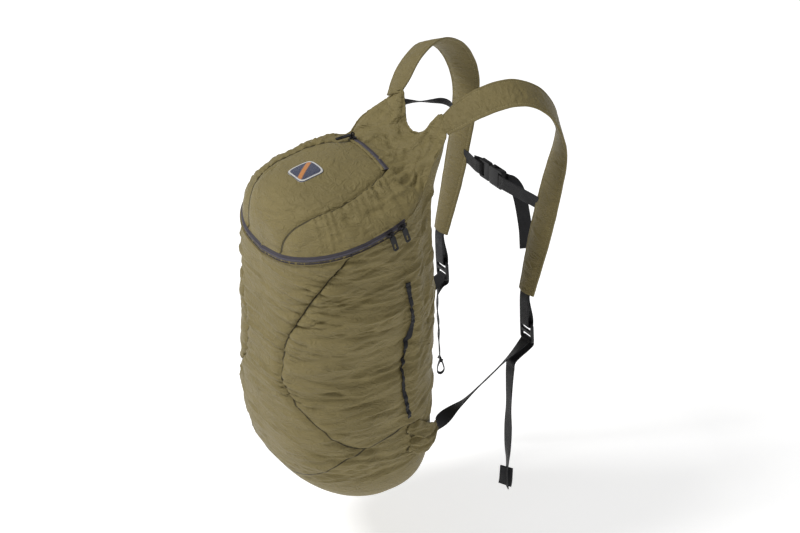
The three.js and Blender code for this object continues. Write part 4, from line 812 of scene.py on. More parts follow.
body_edge = around(body[body_rows - 1], body_edge_columns)
lid_loop = np.concatenate([lid[:, -1], lid[-2:0:-1, 0]])
lid_edge = around(lid_loop, body_edge_columns)
zip_middle, zip_along = resampled((body_edge + lid_edge) / 2, 0.42)
zip_up = carried(lid_edge - body_edge, len(zip_middle))
zip_out = unit(np.cross(np.gradient(zip_middle, axis=0), zip_up))
zip_out *= np.sign((zip_out[:, :2] * (zip_middle[:, :2] - [0, axis_y])).sum(1, keepdims=True))
section_across, section_out, section_uv = zip_section(zip_width + 1.6, zip_along, 0.75)
main_zip = closed_band("main_zip", zip_middle, zip_up, zip_out, section_across, section_out, section_uv,
                       zip_along / 1000, coil_zip)
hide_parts("main_zipper")
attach(main_zip, "pack")

# Pocket zip: the same zip, shorter, across the lid just in front of the neckline, with a folded lip
# of nylon along its front edge. Both follow the lid's cloth.
pocket_zip_y = axis_y + 0.41 * back_depth
pocket_slant = -0.1
pocket_half = 52.0
pocket_zip_width = 9.0


def nearest(points, places):
    """Index of the point nearest to each place, worked out for a few hundred places at a time."""
    return np.concatenate([
        np.argmin(((points[None] - part[:, None]) ** 2).sum(-1), 1)
        for part in np.array_split(places, max(1, len(places) // 200))
    ])


def on_lid(x, y):
    """Height and normal of the lid's cloth at places seen from above, from its nearest grid point:
    that point's height, less the normal's lean times the way to the place."""
    x, y = np.broadcast_arrays(np.asarray(x, float), np.asarray(y, float))
    near = ((lid[..., 0] > x.min() - 8) & (lid[..., 0] < x.max() + 8)
            & (lid[..., 1] > y.min() - 8) & (lid[..., 1] < y.max() + 8) & (lid[..., 2] > 470))
    points, normals = lid[near], lid_true_normals[near]
    flat = np.stack([x.ravel(), y.ravel()], -1)
    found = nearest(points[:, :2], flat)
    lean = (normals[found, :2] * (flat - points[found, :2])).sum(-1) / np.maximum(normals[found, 2], 0.3)
    return (points[found, 2] - lean).reshape(x.shape), normals[found].reshape(*x.shape, 3)


lid_true_normals = grid_normals(lid, False)
lid_true_normals *= np.sign(lid_true_normals[..., 2].mean())
pocket_x = np.linspace(-pocket_half, pocket_half, 60)
pocket_y = pocket_zip_y + pocket_slant * pocket_x
pocket_z = on_lid(pocket_x, pocket_y)[0]
for _ in range(3):
    pocket_z = np.convolve(np.pad(pocket_z, 2, mode="edge"), np.ones(5) / 5, "valid")
pocket_line, pocket_along = resampled(np.stack([pocket_x, pocket_y, pocket_z + 0.9], -1), 0.42)
pocket_up = np.broadcast_to([0.0, 0.0, 1.0], pocket_line.shape)
pocket_across = unit(np.cross(pocket_up, np.gradient(pocket_line, axis=0)))
pocket_out = unit(np.cross(np.gradient(pocket_line, axis=0), pocket_across))
section_across, section_out, section_uv = zip_section(pocket_zip_width, pocket_along, 0.7)
pocket_zip = closed_band("pocket_zip", pocket_line, pocket_across, pocket_out, section_across, section_out,
                         section_uv, pocket_along / 1000, coil_zip)
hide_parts("pocket_zipper")
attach(pocket_zip, "pack")

welt_turn = np.linspace(0, 2 * np.pi, 20, endpoint=False)
welt_line = pocket_line - pocket_across * (pocket_zip_width / 2 - 0.4) + pocket_out * 0.4
welt_half = 2.4
welt_wave = 0.25 * ripple(pocket_along, 7, 31)[:, None]
welt = closed_band("pocket_welt", welt_line, pocket_across, pocket_out,
                   welt_half * np.cos(welt_turn)[None, :] + welt_wave,
                   0.95 * np.sin(welt_turn)[None, :] + 0.3 * welt_wave,
                   welt_turn * welt_half / 1000, pocket_along / 1000, plain_nylon)
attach(welt, "pack")

# Patch: a plain embroidered square with rounded corners on the lid's crown: navy twill, a raised
# white satin-stitched edge and one slanting orange band of thread.
patch_half = 20.0
patch_middle = (0.0, axis_y - 0.42 * front_depth)
patch_rounds = 5.0
patch_rings, patch_points = 60, 240
ring_share, ring_turn = np.meshgrid(
    np.linspace(0, 1, patch_rings), np.linspace(0, 2 * np.pi, patch_points, endpoint=False), indexing="ij")
corner = (np.abs(np.cos(ring_turn)) ** patch_rounds
          + np.abs(np.sin(ring_turn)) ** patch_rounds) ** (-1 / patch_rounds)
patch_x = patch_half * ring_share * corner * np.cos(ring_turn)
patch_y = patch_half * ring_share * corner * np.sin(ring_turn)
patch_z, _ = on_lid(patch_x + patch_middle[0], patch_y + patch_middle[1])
patch_bow = np.stack([np.ones_like(patch_x), patch_x, patch_y,
                      patch_x ** 2, patch_y ** 2, patch_x * patch_y], -1)
fit = np.linalg.lstsq(patch_bow.reshape(-1, 6), patch_z.ravel(), rcond=None)[0]
patch_base = np.maximum(patch_bow @ fit, patch_z - 0.4)
edge_ridge = np.exp(-((ring_share - 0.92) / 0.06) ** 4)
stitch = np.sin(ring_turn * 150 + 6 * ring_share)
band_at = (patch_x + 0.8 * patch_y) / 1.28
band_ridge = np.exp(-((band_at + 2) / 3.4) ** 8) * (1 - smooth(ring_share, 0.82, 0.86))
twill = np.sin((patch_x + patch_y) * 2 * np.pi / 1.1)
band_thread = 0.3 + 0.1 * np.sin((patch_x - patch_y) * 5)
patch_high = 0.75 + edge_ridge * (0.65 + 0.12 * stitch) + band_ridge * band_thread + 0.05 * twill
patch_top = np.stack([patch_x + patch_middle[0], patch_y + patch_middle[1], patch_base + patch_high], -1)
patch_low = patch_top[-1] - [0, 0, 1.6]
patch_grid = np.concatenate([patch_top, patch_low[None]])
patch_uv = np.stack([np.vstack([patch_x, patch_x[-1:]]), np.vstack([patch_y, patch_y[-1:]])], -1)
patch = mesh_object("patch", metres(patch_grid).reshape(-1, 3),
                    grid_faces(len(patch_grid), patch_points, True), patch_uv.reshape(-1, 2) / 1000)
thread = patch.data.attributes.new("thread", "FLOAT_VECTOR", "POINT")
thread_values = np.stack([
    np.vstack([edge_ridge, np.ones((1, patch_points))]),
    np.vstack([band_ridge, np.zeros((1, patch_points))]),
    np.zeros((patch_rings + 1, patch_points)),
], -1)
thread.data.foreach_set("vector", thread_values.astype(np.float32).ravel())
welded(patch, [0, patch_middle[1], 380])
patch_material, patch_tree, patch_shader = new_material("embroidery")
thread_node = patch_tree.nodes.new("ShaderNodeAttribute")
thread_node.attribute_name = "thread"
thread_parts = joined(patch_tree, "ShaderNodeSeparateXYZ", _0=thread_node.outputs["Vector"])
ground_and_band = tinted(patch_tree, thread_parts.outputs[1], (0.018, 0.028, 0.085), (0.75, 0.27, 0.035))
on_edge = joined(patch_tree, "ShaderNodeMapRange", _0=thread_parts.outputs[0], _1=0.3, _2=0.6).outputs[0]
patch_tree.links.new(tinted(patch_tree, on_edge, ground_and_band, (0.78, 0.77, 0.74)),
                     patch_shader.inputs["Base Color"])
patch_shader.inputs["Roughness"].default_value = 0.62
patch_shader.inputs["Sheen Weight"].default_value = 0.3
patch_weave = grouped(patch_tree, weave, Pitch=0.0007)
patch_bump = joined(patch_tree, "ShaderNodeBump", Distance=0.0002, Height=patch_weave.outputs["Height"])
patch_tree.links.new(patch_bump.outputs[0], patch_shader.inputs["Normal"])
patch.data.materials.append(patch_material)
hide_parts("lid_patch")
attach(patch, "pack")

# Side tapes: narrow black tape sewn into each side seam. It lies in the seam's fold, so its edge
# waves a little.
# height, along
tape_route = np.array([
    [0.3, 0.2], [0.36, 0.14], [0.44, 0.1], [0.52, 0.15], [0.6, 0.24], [0.66, 0.22], [0.72, 0.19],
])
tape_half, tape_thickness, tape_rise = 3.4, 0.9, 0.9
webbing_black = fabric_material("black_webbing", (0.011, 0.011, 0.013), (0.007, 0.007, 0.009), 0.62, 0.06,
                                0.02, 0.0002, 0.0016, 0.0003)


def on_side(side, y, z):
    """Place of the body's cloth at a height and depth, on one side, from its nearest grid point."""
    near = (body[..., 0] * side > 60) & (body[..., 2] > z.min() - 12) & (body[..., 2] < z.max() + 12)
    points, normals = body[near], body_true_normals[near]
    flat = np.stack([y.ravel(), z.ravel()], -1)
    found = nearest(points[:, 1:], flat)
    lean = (normals[found, 1:] * (flat - points[found, 1:])).sum(-1)
    x = points[found, 0] - lean / np.where(np.abs(normals[found, 0]) < 0.3, 0.3 * side, normals[found, 0])
    return np.stack([x.reshape(y.shape), y, z], -1), normals[found].reshape(*y.shape, 3)


body_true_normals = grid_normals(body, True)
body_true_normals *= np.sign((body_true_normals[60:200, :, 0] * body[60:200, :, 0]).mean())
ribbon_turn = np.linspace(0, 2 * np.pi, 24, endpoint=False)


def flat_ring(half, thick, power=0.35):
    """A flat section with rounded edges: the powers of cos and sin of the turn, times its half sizes."""
    c, s = np.cos(ribbon_turn), np.sin(ribbon_turn)
    return half * np.sign(c) * np.abs(c) ** power, thick / 2 * np.sign(s) * np.abs(s) ** power


for side, name in ((1, "right"), (-1, "left")):
    tape_level = np.linspace(tape_route[0, 0], tape_route[-1, 0], 90)
    y = axis_y + column_at(tape_route, 1, tape_level) * back_depth
    seat, normal = on_side(side, y, tape_level * bag_height)
    tape_line, tape_along = resampled(seat + normal * tape_rise, 1.2)
    tape_out = carried(normal, len(tape_line))
    lift = np.radians(24 + 22 * ripple(tape_along, 60, 41))[:, None]
    tape_across = unit(np.cross(tape_out, np.gradient(tape_line, axis=0)))
    tape_turned = tape_across * np.cos(lift) + tape_out * np.sin(lift)
    tape_face = np.cross(tape_turned, unit(np.gradient(tape_line, axis=0)))
    ring_across, ring_out = flat_ring(tape_half, tape_thickness)
    width_wave = 1 + 0.18 * ripple(tape_along, 45, 43)[:, None]
    tape = closed_band(f"side_tape_cloth_{name}", tape_line + tape_out * 0.5, tape_turned, tape_face,
                       ring_across[None, :] * width_wave,
                       np.broadcast_to(ring_out, (len(tape_line), len(ring_out))),
                       ring_across / 1000, tape_along / 1000, webbing_black)
    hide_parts(f"side_tape_{name}")
    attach(tape, "pack")

# Rolled edge: where the lid's back and the body's meet round the horns and the neckline, both are
# turned in and sewn, and the thread puckers the edge.
rim_line, rim_along = resampled(rim_point(np.linspace(7.5, 172.5, 140)), 1.3)
rim_out = unit(rim_line * [1, 1, 0] - [0, axis_y, 0])
rim_up = unit(np.cross(np.gradient(rim_line, axis=0), rim_out))
rim_turn = np.linspace(0, 2 * np.pi, 14, endpoint=False)
rim_size = (1.35 + 0.3 * ripple(rim_along, 7, 35))[:, None]
rolled = closed_band("rolled_edge", rim_line, unit(np.cross(rim_up, np.gradient(rim_line, axis=0))), rim_up,
                     rim_size * np.cos(rim_turn), rim_size * np.sin(rim_turn), rim_turn * 1.35 / 1000,
                     rim_along / 1000, plain_nylon)
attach(rolled, "pack")

# Shoulder straps: olive nylon over thin padding, bound and top-stitched along both edges. Each is sewn
# to its horn, arches over the shoulder and narrows to the webbing sewn into its lower end.
strap_width, strap_spread, strap_reach, strap_drop = 50.0, 54.0, 162.0, 280.0
strap_base = (52.0, 62.0)  # angles of the rim between which a strap is sewn to its horn
strap_crown, strap_edge = 2.7, 1.25  # half thickness added in the middle, and that of the bound edge
stitch_share = 0.8  # of the half width, where the top-stitching runs
# step, out, back, up, width, tilt
strap_route = np.array([
    [0, 0, 0, 0, 0.76, 52],
    [1, 0.38, 0.25, 0.105, 0.92, 40],
    [2, 0.68, 0.49, 0.15, 0.98, 28],
    [3, 0.86, 0.68, 0.13, 1, 24],
    [4, 0.96, 0.85, 0.055, 1, 26],
    [5, 1, 0.97, -0.07, 1, 28],
    [6, 0.98, 1, -0.21, 1, 22],
    [7, 0.91, 0.94, -0.42, 1, 8],
    [8, 0.87, 0.845, -0.68, 0.96, 2],
    [9, 0.87, 0.716, -1, 0.68, 0],
])

# Stitches: a dashed line of thread at an offset on each side of a piece's middle, on its UV in metres.
stitching, stitching_in, stitching_out = node_group(
    "stitches", [("Offset", 0.02), ("Pitch", 0.003)], ["Mask"])
stitching_uv = joined(stitching, "ShaderNodeSeparateXYZ",
                      _0=joined(stitching, "ShaderNodeTexCoord").outputs["UV"])
stitching_side = worked(stitching, "ABSOLUTE", stitching_uv.outputs[0])
stitching_away = worked(stitching, "ABSOLUTE", worked(
    stitching, "SUBTRACT", stitching_side, stitching_in.outputs["Offset"]))
stitching_line = joined(stitching, "ShaderNodeMapRange", _0=stitching_away, _1=0.0004, _2=0.0007,
                        _3=1.0, _4=0.0).outputs[0]
stitching_turn = worked(stitching, "MULTIPLY", worked(
    stitching, "DIVIDE", stitching_uv.outputs[1], stitching_in.outputs["Pitch"]), full_turn)
stitching_dash = joined(stitching, "ShaderNodeMapRange", _0=worked(stitching, "SINE", stitching_turn),
                        _1=-0.5, _2=-0.1).outputs[0]
stitching_mask = worked(stitching, "MULTIPLY", stitching_line, stitching_dash)
stitching.links.new(stitching_mask, stitching_out.inputs["Mask"])


def with_stitches(material, offset, pitch, thread):
    """Adds a row of thread to a woven material: its mask picks the thread's colour and raises it."""
    sewn = grouped(material.node_tree, stitching, Offset=offset, Pitch=pitch)
    return marked(material, sewn.outputs["Mask"], thread, 0.0004)


strap_cloth = ((0.2, 0.16, 0.063), (0.175, 0.14, 0.055), 0.55, 0.03, 0.014, 0.005, 0.0009, 0.00012)
strap_nylon = with_stitches(fabric_material("strap_nylon", *strap_cloth),
                            stitch_share * strap_width / 2000, 0.0032, (0.3, 0.25, 0.12))


def strap_places(side, steps):
    """The strap's middle at steps of its route, with the direction wished across it and its width."""
    base = (rim_point(strap_base[0]) + rim_point(strap_base[1])) / 2 * [side, 1, 1]
    shares = np.stack([column_at(strap_route, k, steps) for k in (1, 2, 3)], -1)
    place = base + shares * [side * strap_spread, strap_reach, strap_drop]
    tilt = np.radians(column_at(strap_route, 5, steps))
    wished = np.stack([side * np.cos(tilt), -0.8 * np.sin(tilt), -np.sin(tilt)], -1)
    return np.column_stack([place, wished, column_at(strap_route, 4, steps) * strap_width])


def band_frame(centre, wished, twist=0.0):
    """Directions along a band, across it and out of its face. Across is the wished direction freed of
    its part along the band, and turned round the band by the twist in degrees."""
    tangent = unit(np.gradient(centre, axis=0))
    flat = unit(wished - tangent * (wished * tangent).sum(1, keepdims=True))
    face = np.cross(tangent, flat)
    turn = np.radians(np.broadcast_to(twist, len(centre)))[:, None]
    flat, face = flat * np.cos(turn) + face * np.sin(turn), face * np.cos(turn) - flat * np.sin(turn)
    return tangent, flat, face


def strap_section(share):
    """Half the strap's thickness at a share of its half width: a low crown between the two rows of
    stitches, a pinch at each, and a rounded bound edge."""
    away = np.abs(share)
    crown = strap_crown * np.clip(1 - (away / stitch_share) ** 2.4, 0, 1) ** 0.7
    bound = 0.5 * np.sin(np.pi * np.clip((away - stitch_share) / (1 - stitch_share), 0, 1))
    tip = np.sqrt(np.clip(1 - np.clip((away - 0.93) / 0.07, 0, 1) ** 2, 0, 1))
    return (strap_edge + crown + bound) * tip


strap_share = np.sin(np.linspace(-np.pi / 2, np.pi / 2, 52))
strap_ring = np.concatenate([strap_share, -strap_share])
crease_half = 22
strap_ends = {}
for side, name in ((1, "right"), (-1, "left")):
    rows, along = resampled(strap_places(side, np.linspace(0, 9, 73)), 1.2)
    centre, width = rows[:, :3], rows[:, 6]
    tangent, flat, face = band_frame(centre, rows[:, 3:6])
    strap_ends[name] = (centre[-1], tangent[-1])
    half = width / 2 * (1 + 0.012 * ripple(along, 38, 51 + side)) * mixed(0.84, 1, smooth(along, 0, 26))
    faces = []
    for top in (1, -1):
        u, s = np.meshgrid(strap_share * top, along)
        region = [-crease_half, crease_half, 0, along[-1], 0, 24, 10, 2.0, 0.75, 110]
        creases = strokes(u * crease_half, s, scattered([region], 57 + side + top))
        pinch = 0.45 * ripple(s, 5.5, 61 + top) * np.exp(-((np.abs(u) - stitch_share) / 0.1) ** 2)
        seams = -0.7 * (np.exp(-((s - 3) / 1.2) ** 2) + np.exp(-((s - 10) / 1.2) ** 2)
                        + np.exp(-((along[-1] - 7 - s) / 1.2) ** 2))
        quiet = np.sqrt(np.clip(1 - u ** 2, 0, 1))
        faces.append(top * (strap_section(u) + quiet * (creases + pinch + seams)))
    cup = 2.2 * (0.35 - strap_ring ** 2) * smooth(along, 10, 60)[:, None]
    strap = closed_band(f"strap_{name}", centre, flat, face, strap_ring[None, :] * half[:, None],
                        np.concatenate(faces, 1) + side * cup, strap_ring * strap_width / 2000,
                        along / 1000, strap_nylon)
    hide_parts(f"shoulder_strap_{name}")
    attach(strap, "pack")

# Webbing: ribbed black polyester, 20 mm wide. Each strap's end holds a sewn loop through its ladder
# lock, and the lower webbing runs from the corner tab round the lock's lower bar and down as a loose
# end.
webbing_width, webbing_thickness = 20.0, 1.6
lock_height, lock_bar, lock_thickness, lock_drop, lock_back = 34.0, 4.6, 4.4, 68.0, 5.0
sewn_clear, bar_clear, loop_run = 0.2, 0.35, 12.0
sewn_in = 8.0  # length of webbing inside a strap


def ribbon(name, points, across, replaced, width=webbing_width, thickness=webbing_thickness, twist=0.0,
           narrow=1.0):
    """Flat webbing along points, given the wished direction across, the twist and the share of the
    width at each. Its section is a flat ring."""
    given = np.column_stack([points, np.broadcast_to(across, points.shape),
                             np.broadcast_to(twist, len(points)), np.broadcast_to(narrow, len(points))])
    rows, along = resampled(given, 1.1)
    _, flat, face = band_frame(rows[:, :3], rows[:, 3:6], rows[:, 6])
    ring_across, ring_out = flat_ring(width / 2, thickness)
    bow = 0.35 * ripple(along, 34, 71)[:, None] * (1 - (ring_across / width * 2) ** 2)
    obj = closed_band(name, rows[:, :3], flat, face, ring_across[None, :] * rows[:, 7:8],
                      ring_out[None, :] + bow, ring_across / 1000, along / 1000, webbing_black)
    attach(obj, "pack")
    if replaced:
        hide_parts(replaced)


def half_turn(middle, outwards, axis, turn):
    """Seven places on an arc round a bar, from the outward direction through the turn in degrees."""
    arc = np.radians(np.linspace(0, turn, 7))[:, None]
    aside = np.cross(axis / np.linalg.norm(axis), outwards)
    return middle + outwards * np.cos(arc) + aside * np.sin(arc)


def wrap(thickness, bar):
    """Distance from a bar's middle to that of the webbing round it: half the bar's diagonal, half the
    webbing and a little room."""
    return np.hypot(thickness, bar) / 2 + webbing_thickness / 2 + bar_clear


# Corner tabs: a gathered triangle of nylon at the lower end of each side seam, with the webbing sewn
# into its tip.
# way, along, height, half, off
tab_table = np.array([[0, 0.22, 0.225, 0.062, 0], [0.5, 0.5, 0.2, 0.05, 0.35], [1, 0.74, 0.2, 0.02, 1]])
tab_off, tab_thickness, tab_rise = 13.0, 4.0, 0.8
tab_ends = {}
for side, name in ((1, "right"), (-1, "left")):
    t, v = np.meshgrid(np.linspace(0, 1, 50), np.linspace(1, -1, 70), indexing="ij")
    wide = v * 30
    y = axis_y + column_at(tab_table, 1, t) * back_depth
    gathered = 1 - 0.12 * smooth(t, 0.2, 0.7) * np.cos(np.pi * v / 2)
    y = y + 7 * (1 - smooth(t, 0, 0.5)) * ripple(wide, 24, 97 + side)
    z = column_at(tab_table, 2, t) * bag_height + v * column_at(tab_table, 3, t) * bag_height * gathered
    z = z + 3.5 * ripple(t * 60, 26, 99) * v * (1 - smooth(t, 0.6, 1))
    place, _ = on_side(side, y, z)
    place[..., 0] = np.median(place[..., 0], axis=1)[:, None] * 0.5 + place[..., 0] * 0.5
    lift = tab_rise + column_at(tab_table, 4, t) * tab_off - 3.4 * (1 - smooth(t, 0, 0.2))
    lift = lift - 2.6 * smooth(np.abs(v), 0.72, 1) * (1 - smooth(t, 0.3, 0.7))
    pleat = (ripple(wide + 3 * t, 15, 83 + side) * (0.6 + 0.4 * smooth(t, 0, 0.5))
             + 0.5 * ripple(wide - 9 * t, 6, 89))
    edge = np.sqrt(np.clip(1 - v ** 2, 0, 1))
    folds_in = gathers(v * 34 - 14 * t, 40 * t, 11, 60, 93) - 0.4
    bunch = np.exp(-((t - 0.62) / 0.3) ** 2 - ((v + 0.4) / 0.55) ** 2)
    swell = edge * (2.4 + 6.5 * bunch + 1.1 * pleat + 7.0 * folds_in * edge)
    top = place + np.stack([side * (lift + 2.0 + swell), 0 * t, 0 * t], -1)
    under = place + np.stack([side * (lift + 1.0 - 0.6 * edge), 0 * t, 0 * t], -1)
    tab = closed_rings(f"corner_tab_cloth_{name}", np.concatenate([top, under[:, ::-1]], 1),
                       np.concatenate([v[0], v[0, ::-1]]) * 0.03, t[:, 0] * 0.06, plain_nylon)
    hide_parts(f"corner_tab_{name}")
    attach(tab, "pack")
    for way, key in ((1.0, "end"), (0.8, "before")):
        seat_y = np.array([axis_y + column_at(tab_table, 1, way) * back_depth])
        seat_z = np.array([column_at(tab_table, 2, way) * bag_height])
        seat, _ = on_side(side, seat_y, seat_z)
        off = tab_rise + column_at(tab_table, 4, way) * tab_off + tab_thickness / 2
        tab_ends[name, key] = seat[0] + [side * off, 0, 0]

# The loose ends: how far each follows the webbing above it, its length and its swing backwards. Each
# place of an end is measured from where it hangs free, and the last places from its foot.
tail_follow = {"right": 36.0, "left": 12.0}
tail_length = {"right": 228.0, "left": 165.0}
tail_swing = {"right": 0.0, "left": 10.0}
tail_gap, tail_back = 14, 4
tail_shares = (0.15, 0.32, 0.49, 0.66, 0.83, 1)
tail_waves = {"right": [0, 8, 14, 4, 10, 30, 20], "left": [0, 10, -14, 12, -6]}
tab_exit = ((-6, 0), (0, 0), (6, 0), (8, 10), (5, 32))  # along the tab and up the run
run_sag, run_lean = 2, 44
curl_height = 26
curled_end = np.array([[-1, -5, 12], [-1, -5, 2], [0, 1, -2], [1, 6, 3], [1, 4, 14], [0.5, 0, 27]])
folded_back = np.array([[0, -1.2, 36], [0, -1.6, 24], [-1, -1.2, 12], [-3, -1, 1]])
bar_wrap = wrap(lock_thickness, lock_bar)
for side, name in ((1, "right"), (-1, "left")):
    end, fall = strap_ends[name]
    lock_at = end + [0, lock_back, -lock_drop]
    lock_up = unit(end - lock_at)
    lock_across = unit(np.array([1.0, 0, 0]) - lock_up * lock_up[0])
    lock_out = np.cross(lock_across, lock_up)
    bar_step = (lock_height - lock_bar) / 2
    top_bar, bottom_bar = lock_at + lock_up * bar_step, lock_at - lock_up * bar_step
    start, front = end - fall * sewn_in, lock_out * bar_wrap
    splay = lock_out * (webbing_thickness / 2 + sewn_clear)
    sewn_loop = np.vstack([start + splay * 0.8, end + fall * 6 + splay, top_bar + front + lock_up * loop_run,
                           half_turn(top_bar, front, lock_across, 180),
                           top_bar - front + lock_up * loop_run, end + fall * 6 - splay, start - splay * 0.8])
    ribbon(f"sewn_webbing_{name}", sewn_loop, [1.0, 0, 0], f"strap_webbing_{name}")

    tab_end = tab_ends[name, "end"]
    tab_along = unit((tab_end - tab_ends[name, "before"]) * [1, 1, 0])
    run_up = unit(bottom_bar - tab_end)
    bag_side = -np.sign(lock_out[1]) * lock_out * bar_wrap
    below = bottom_bar - run_up * tail_follow[name] + [0, 4, -8]
    turn = 180 * np.sign(np.dot(np.cross(bag_side, lock_up), lock_across))
    leaving = [tab_end + tab_along * on + run_up * up for on, up in tab_exit]
    sagging = [mixed(tab_end, bottom_bar, t) - [0, 0, run_sag * np.sin(np.pi * t)]
               for t in np.linspace(0.3, 0.85, 5)]
    hanging = [below + [side * 2 * t, tail_swing[name] * t - tail_back,
                        -tail_gap - (tail_length[name] - tail_gap) * t] for t in tail_shares]
    foot = hanging[-1]
    if name == "left":
        hanging = [*hanging[:-1], foot + [0, 0, curl_height], *(foot + curled_end)]
    lower = np.vstack([*leaving, *sagging, half_turn(bottom_bar, bag_side, lock_across, turn),
                       bottom_bar - bag_side + [0, -1, -9], below, below + [0, -3, -tail_gap], *hanging])
    index = np.arange(len(lower))
    first_tail = len(lower) - len(hanging) - 1
    twist = (90 * (1 - smooth(index, 1.5, 4.5))
             - side * run_lean * smooth(index, 3, 6) * (1 - smooth(index, 8, 10.5)))
    twist[first_tail:first_tail + len(tail_waves[name])] += tail_waves[name]
    across = np.tile([1.0, 0.0, 0.0], (len(lower), 1))
    narrow = np.ones(len(lower))
    if name == "left":
        across[first_tail:] = [0.83, -0.56, 0]
        narrow[first_tail + 1:] = 0.7
        narrow[-len(curled_end):] = 0.32
    ribbon(f"lower_strap_{name}", lower, across, f"lower_webbing_{name}", twist=twist, narrow=narrow)
    if name == "right":
        ribbon("folded_end", foot + folded_back, [0.8, 0.5, 0.3], None, width=21, thickness=2.6)

# Chest strap: webbing from each shoulder strap to a side-release buckle. The right length passes the
# socket's bar, and its loose end hangs behind it.
sternum_step, buckle_offset, buckle_length, buckle_bar = 7.5, -20.0, 58.0, 4.5
buckle_thickness, plug_thickness = 9.0, 6.8
sternum_ends = []
for side in (1, -1):
    rows = strap_places(side, np.linspace(sternum_step - 0.5, sternum_step + 0.5, 5))
    _, flat, _ = band_frame(rows[:, :3], rows[:, 3:6])
    sternum_ends.append(rows[2, :3] - flat[2] * (rows[2, 6] / 2 + 0.5))
chest_line = unit(sternum_ends[0] - sternum_ends[1])
chest_up = np.array([0.0, 0.0, 1.0])
chest_out = np.cross(chest_line, chest_up)
buckle_at = (sternum_ends[0] + sternum_ends[1]) / 2 + chest_line * buckle_offset
bar_reach = (buckle_length - buckle_bar) / 2
plug_bar, socket_bar = buckle_at - chest_line * bar_reach, buckle_at + chest_line * bar_reach
plug_out = chest_out * wrap(plug_thickness, buckle_bar)
socket_out = chest_out * wrap(buckle_thickness, buckle_bar)
plug_run = 8
chest_splay = chest_out * (webbing_thickness / 2 + sewn_clear)
plug_line = np.vstack([
    sternum_ends[1] - chest_line * sewn_in + chest_splay * 0.5,
    sternum_ends[1] + chest_line * 6 + chest_splay,
    plug_bar + plug_out - chest_line * plug_run,
    half_turn(plug_bar, plug_out, chest_up, 180),
    plug_bar - plug_out - chest_line * plug_run,
    mixed(plug_bar, sternum_ends[1], 0.55) - chest_splay,
])
ribbon("chest_strap_left", plug_line, chest_up, "chest_webbing_left")
# to the wearer's right, back and up from just past the socket's bar
chest_tail = np.array([
    [0, 0, 0], [4, 1, 0], [9, 3, -3.2], [13, 6, -10.8], [16, 9, -23.8], [19, 13, -48.6], [21, 17, -77.8],
    [22, 19, -108],
])
socket_line = np.vstack([
    sternum_ends[0] + chest_line * sewn_in, sternum_ends[0] - chest_line * 4,
    socket_bar + socket_out + chest_line * loop_run,
    half_turn(socket_bar, socket_out, chest_up, -180),
    socket_bar - socket_out + chest_line * 6 + chest_tail,
])
tail_share = smooth(np.arange(len(socket_line)) / (len(socket_line) - 1), 0.5, 0.78)[:, None]
socket_across = mixed(chest_up, np.array([0.5, 0.86, 0]), tail_share)
ribbon("chest_strap_right", socket_line, socket_across, "chest_webbing_right")

# Haul loop: narrow webbing sewn between the inner ends of the two strap bases, with one twist in it.
haul_reach, haul_end = 50.0, rim_point(70.0) + [0, -0.7, 0]
# shares of the half width, of the reach backwards and of the reach upwards, on the right half
haul_half = np.array([
    [1, 0.02, 0], [0.96, 0.16, -0.02], [0.84, 0.46, -0.06],
    [0.62, 0.76, -0.06], [0.34, 0.95, -0.02], [0, 1, 0],
])
haul_line = np.vstack([haul_half, haul_half[-2::-1] * [-1, 1, 1]])
haul_line = haul_line * [haul_end[0], haul_reach, haul_reach] + [0, haul_end[1], haul_end[2]]
haul_twist = np.array([0, 4, -6, 5, 0, 0, -8, -34, -60, -30, 0])
ribbon("haul_webbing", haul_line, [0, 0, 1.0], "haul_loop", width=10, thickness=1.5, twist=haul_twist)

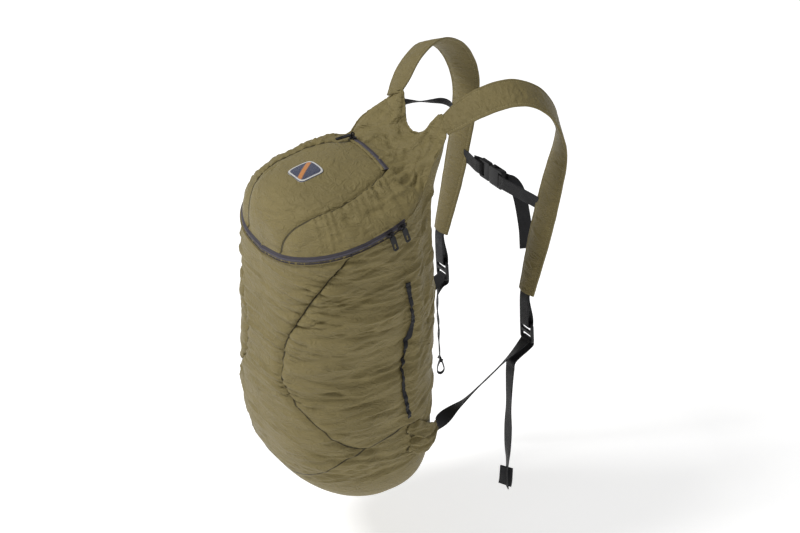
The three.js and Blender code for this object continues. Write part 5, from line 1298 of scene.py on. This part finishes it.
# Hard parts: black moulded locks and buckle halves, and black enamelled sliders with their pull tabs.
# Each is a rounded copy of its solid: doubles merged, flat faces joined and edges bevelled.
def shiny_black(name, colour, roughness, grain, depth):
    """Black moulded or enamelled finish: fine noise in its gloss and its bump."""
    material, tree, shader = new_material(name)
    place = joined(tree, "ShaderNodeTexCoord").outputs["Object"]
    speckle = joined(tree, "ShaderNodeTexNoise", Vector=place, Scale=grain, Detail=3.0)
    tint = tree.nodes.new("ShaderNodeValToRGB")
    tint.color_ramp.elements[0].color = (*colour, 1)
    tint.color_ramp.elements[1].color = (*[1.6 * c for c in colour], 1)
    tree.links.new(speckle.outputs[0], tint.inputs[0])
    tree.links.new(tint.outputs[0], shader.inputs["Base Color"])
    gloss = joined(tree, "ShaderNodeMapRange", _0=speckle.outputs[0],
                   _3=roughness - 0.08, _4=roughness + 0.08)
    tree.links.new(gloss.outputs[0], shader.inputs["Roughness"])
    shader.inputs["Specular IOR Level"].default_value = 0.22
    bump = joined(tree, "ShaderNodeBump", Distance=depth, Height=speckle.outputs[0], Strength=0.5)
    tree.links.new(bump.outputs[0], shader.inputs["Normal"])
    return material


moulded = shiny_black("moulded_black", (0.006, 0.006, 0.007), 0.42, 1800.0, 0.00008)
enamel = shiny_black("black_enamel", (0.02, 0.018, 0.02), 0.26, 900.0, 0.00003)


def rounded_copy(node, edge, material, body):
    """A copy of a CAD node with its doubles merged, its flat faces joined and its edges bevelled."""
    work = bmesh.new()
    work.from_mesh(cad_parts[node].data)
    bmesh.ops.remove_doubles(work, verts=work.verts, dist=5e-6)
    bmesh.ops.dissolve_limit(work, angle_limit=0.01, verts=work.verts, edges=work.edges)
    mesh = bpy.data.meshes.new(f"{node}_rounded")
    work.to_mesh(mesh)
    work.free()
    mesh.materials.clear()
    mesh.materials.append(material)
    mesh.shade_smooth()
    obj = bpy.data.objects.new(f"{node}_rounded", mesh)
    scene.collection.objects.link(obj)
    bevel = obj.modifiers.new("edges", "BEVEL")
    bevel.width = edge
    bevel.segments = 3
    bevel.limit_method = "ANGLE"
    bevel.angle_limit = np.radians(30)
    bevel.harden_normals = True
    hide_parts(node)
    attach(obj, body)


for name in ("right", "left"):
    rounded_copy(f"ladder_lock_{name}", 0.0012, moulded, "pack")
for name in ("buckle_socket", "buckle_plug"):
    rounded_copy(name, 0.0007, moulded, "pack")
for name in ("front", "back", "pocket"):
    rounded_copy(f"slider_{name}", 0.0003, enamel, "pack")
    rounded_copy(f"pull_{name}", 0.00035, moulded, f"pull_{name}")
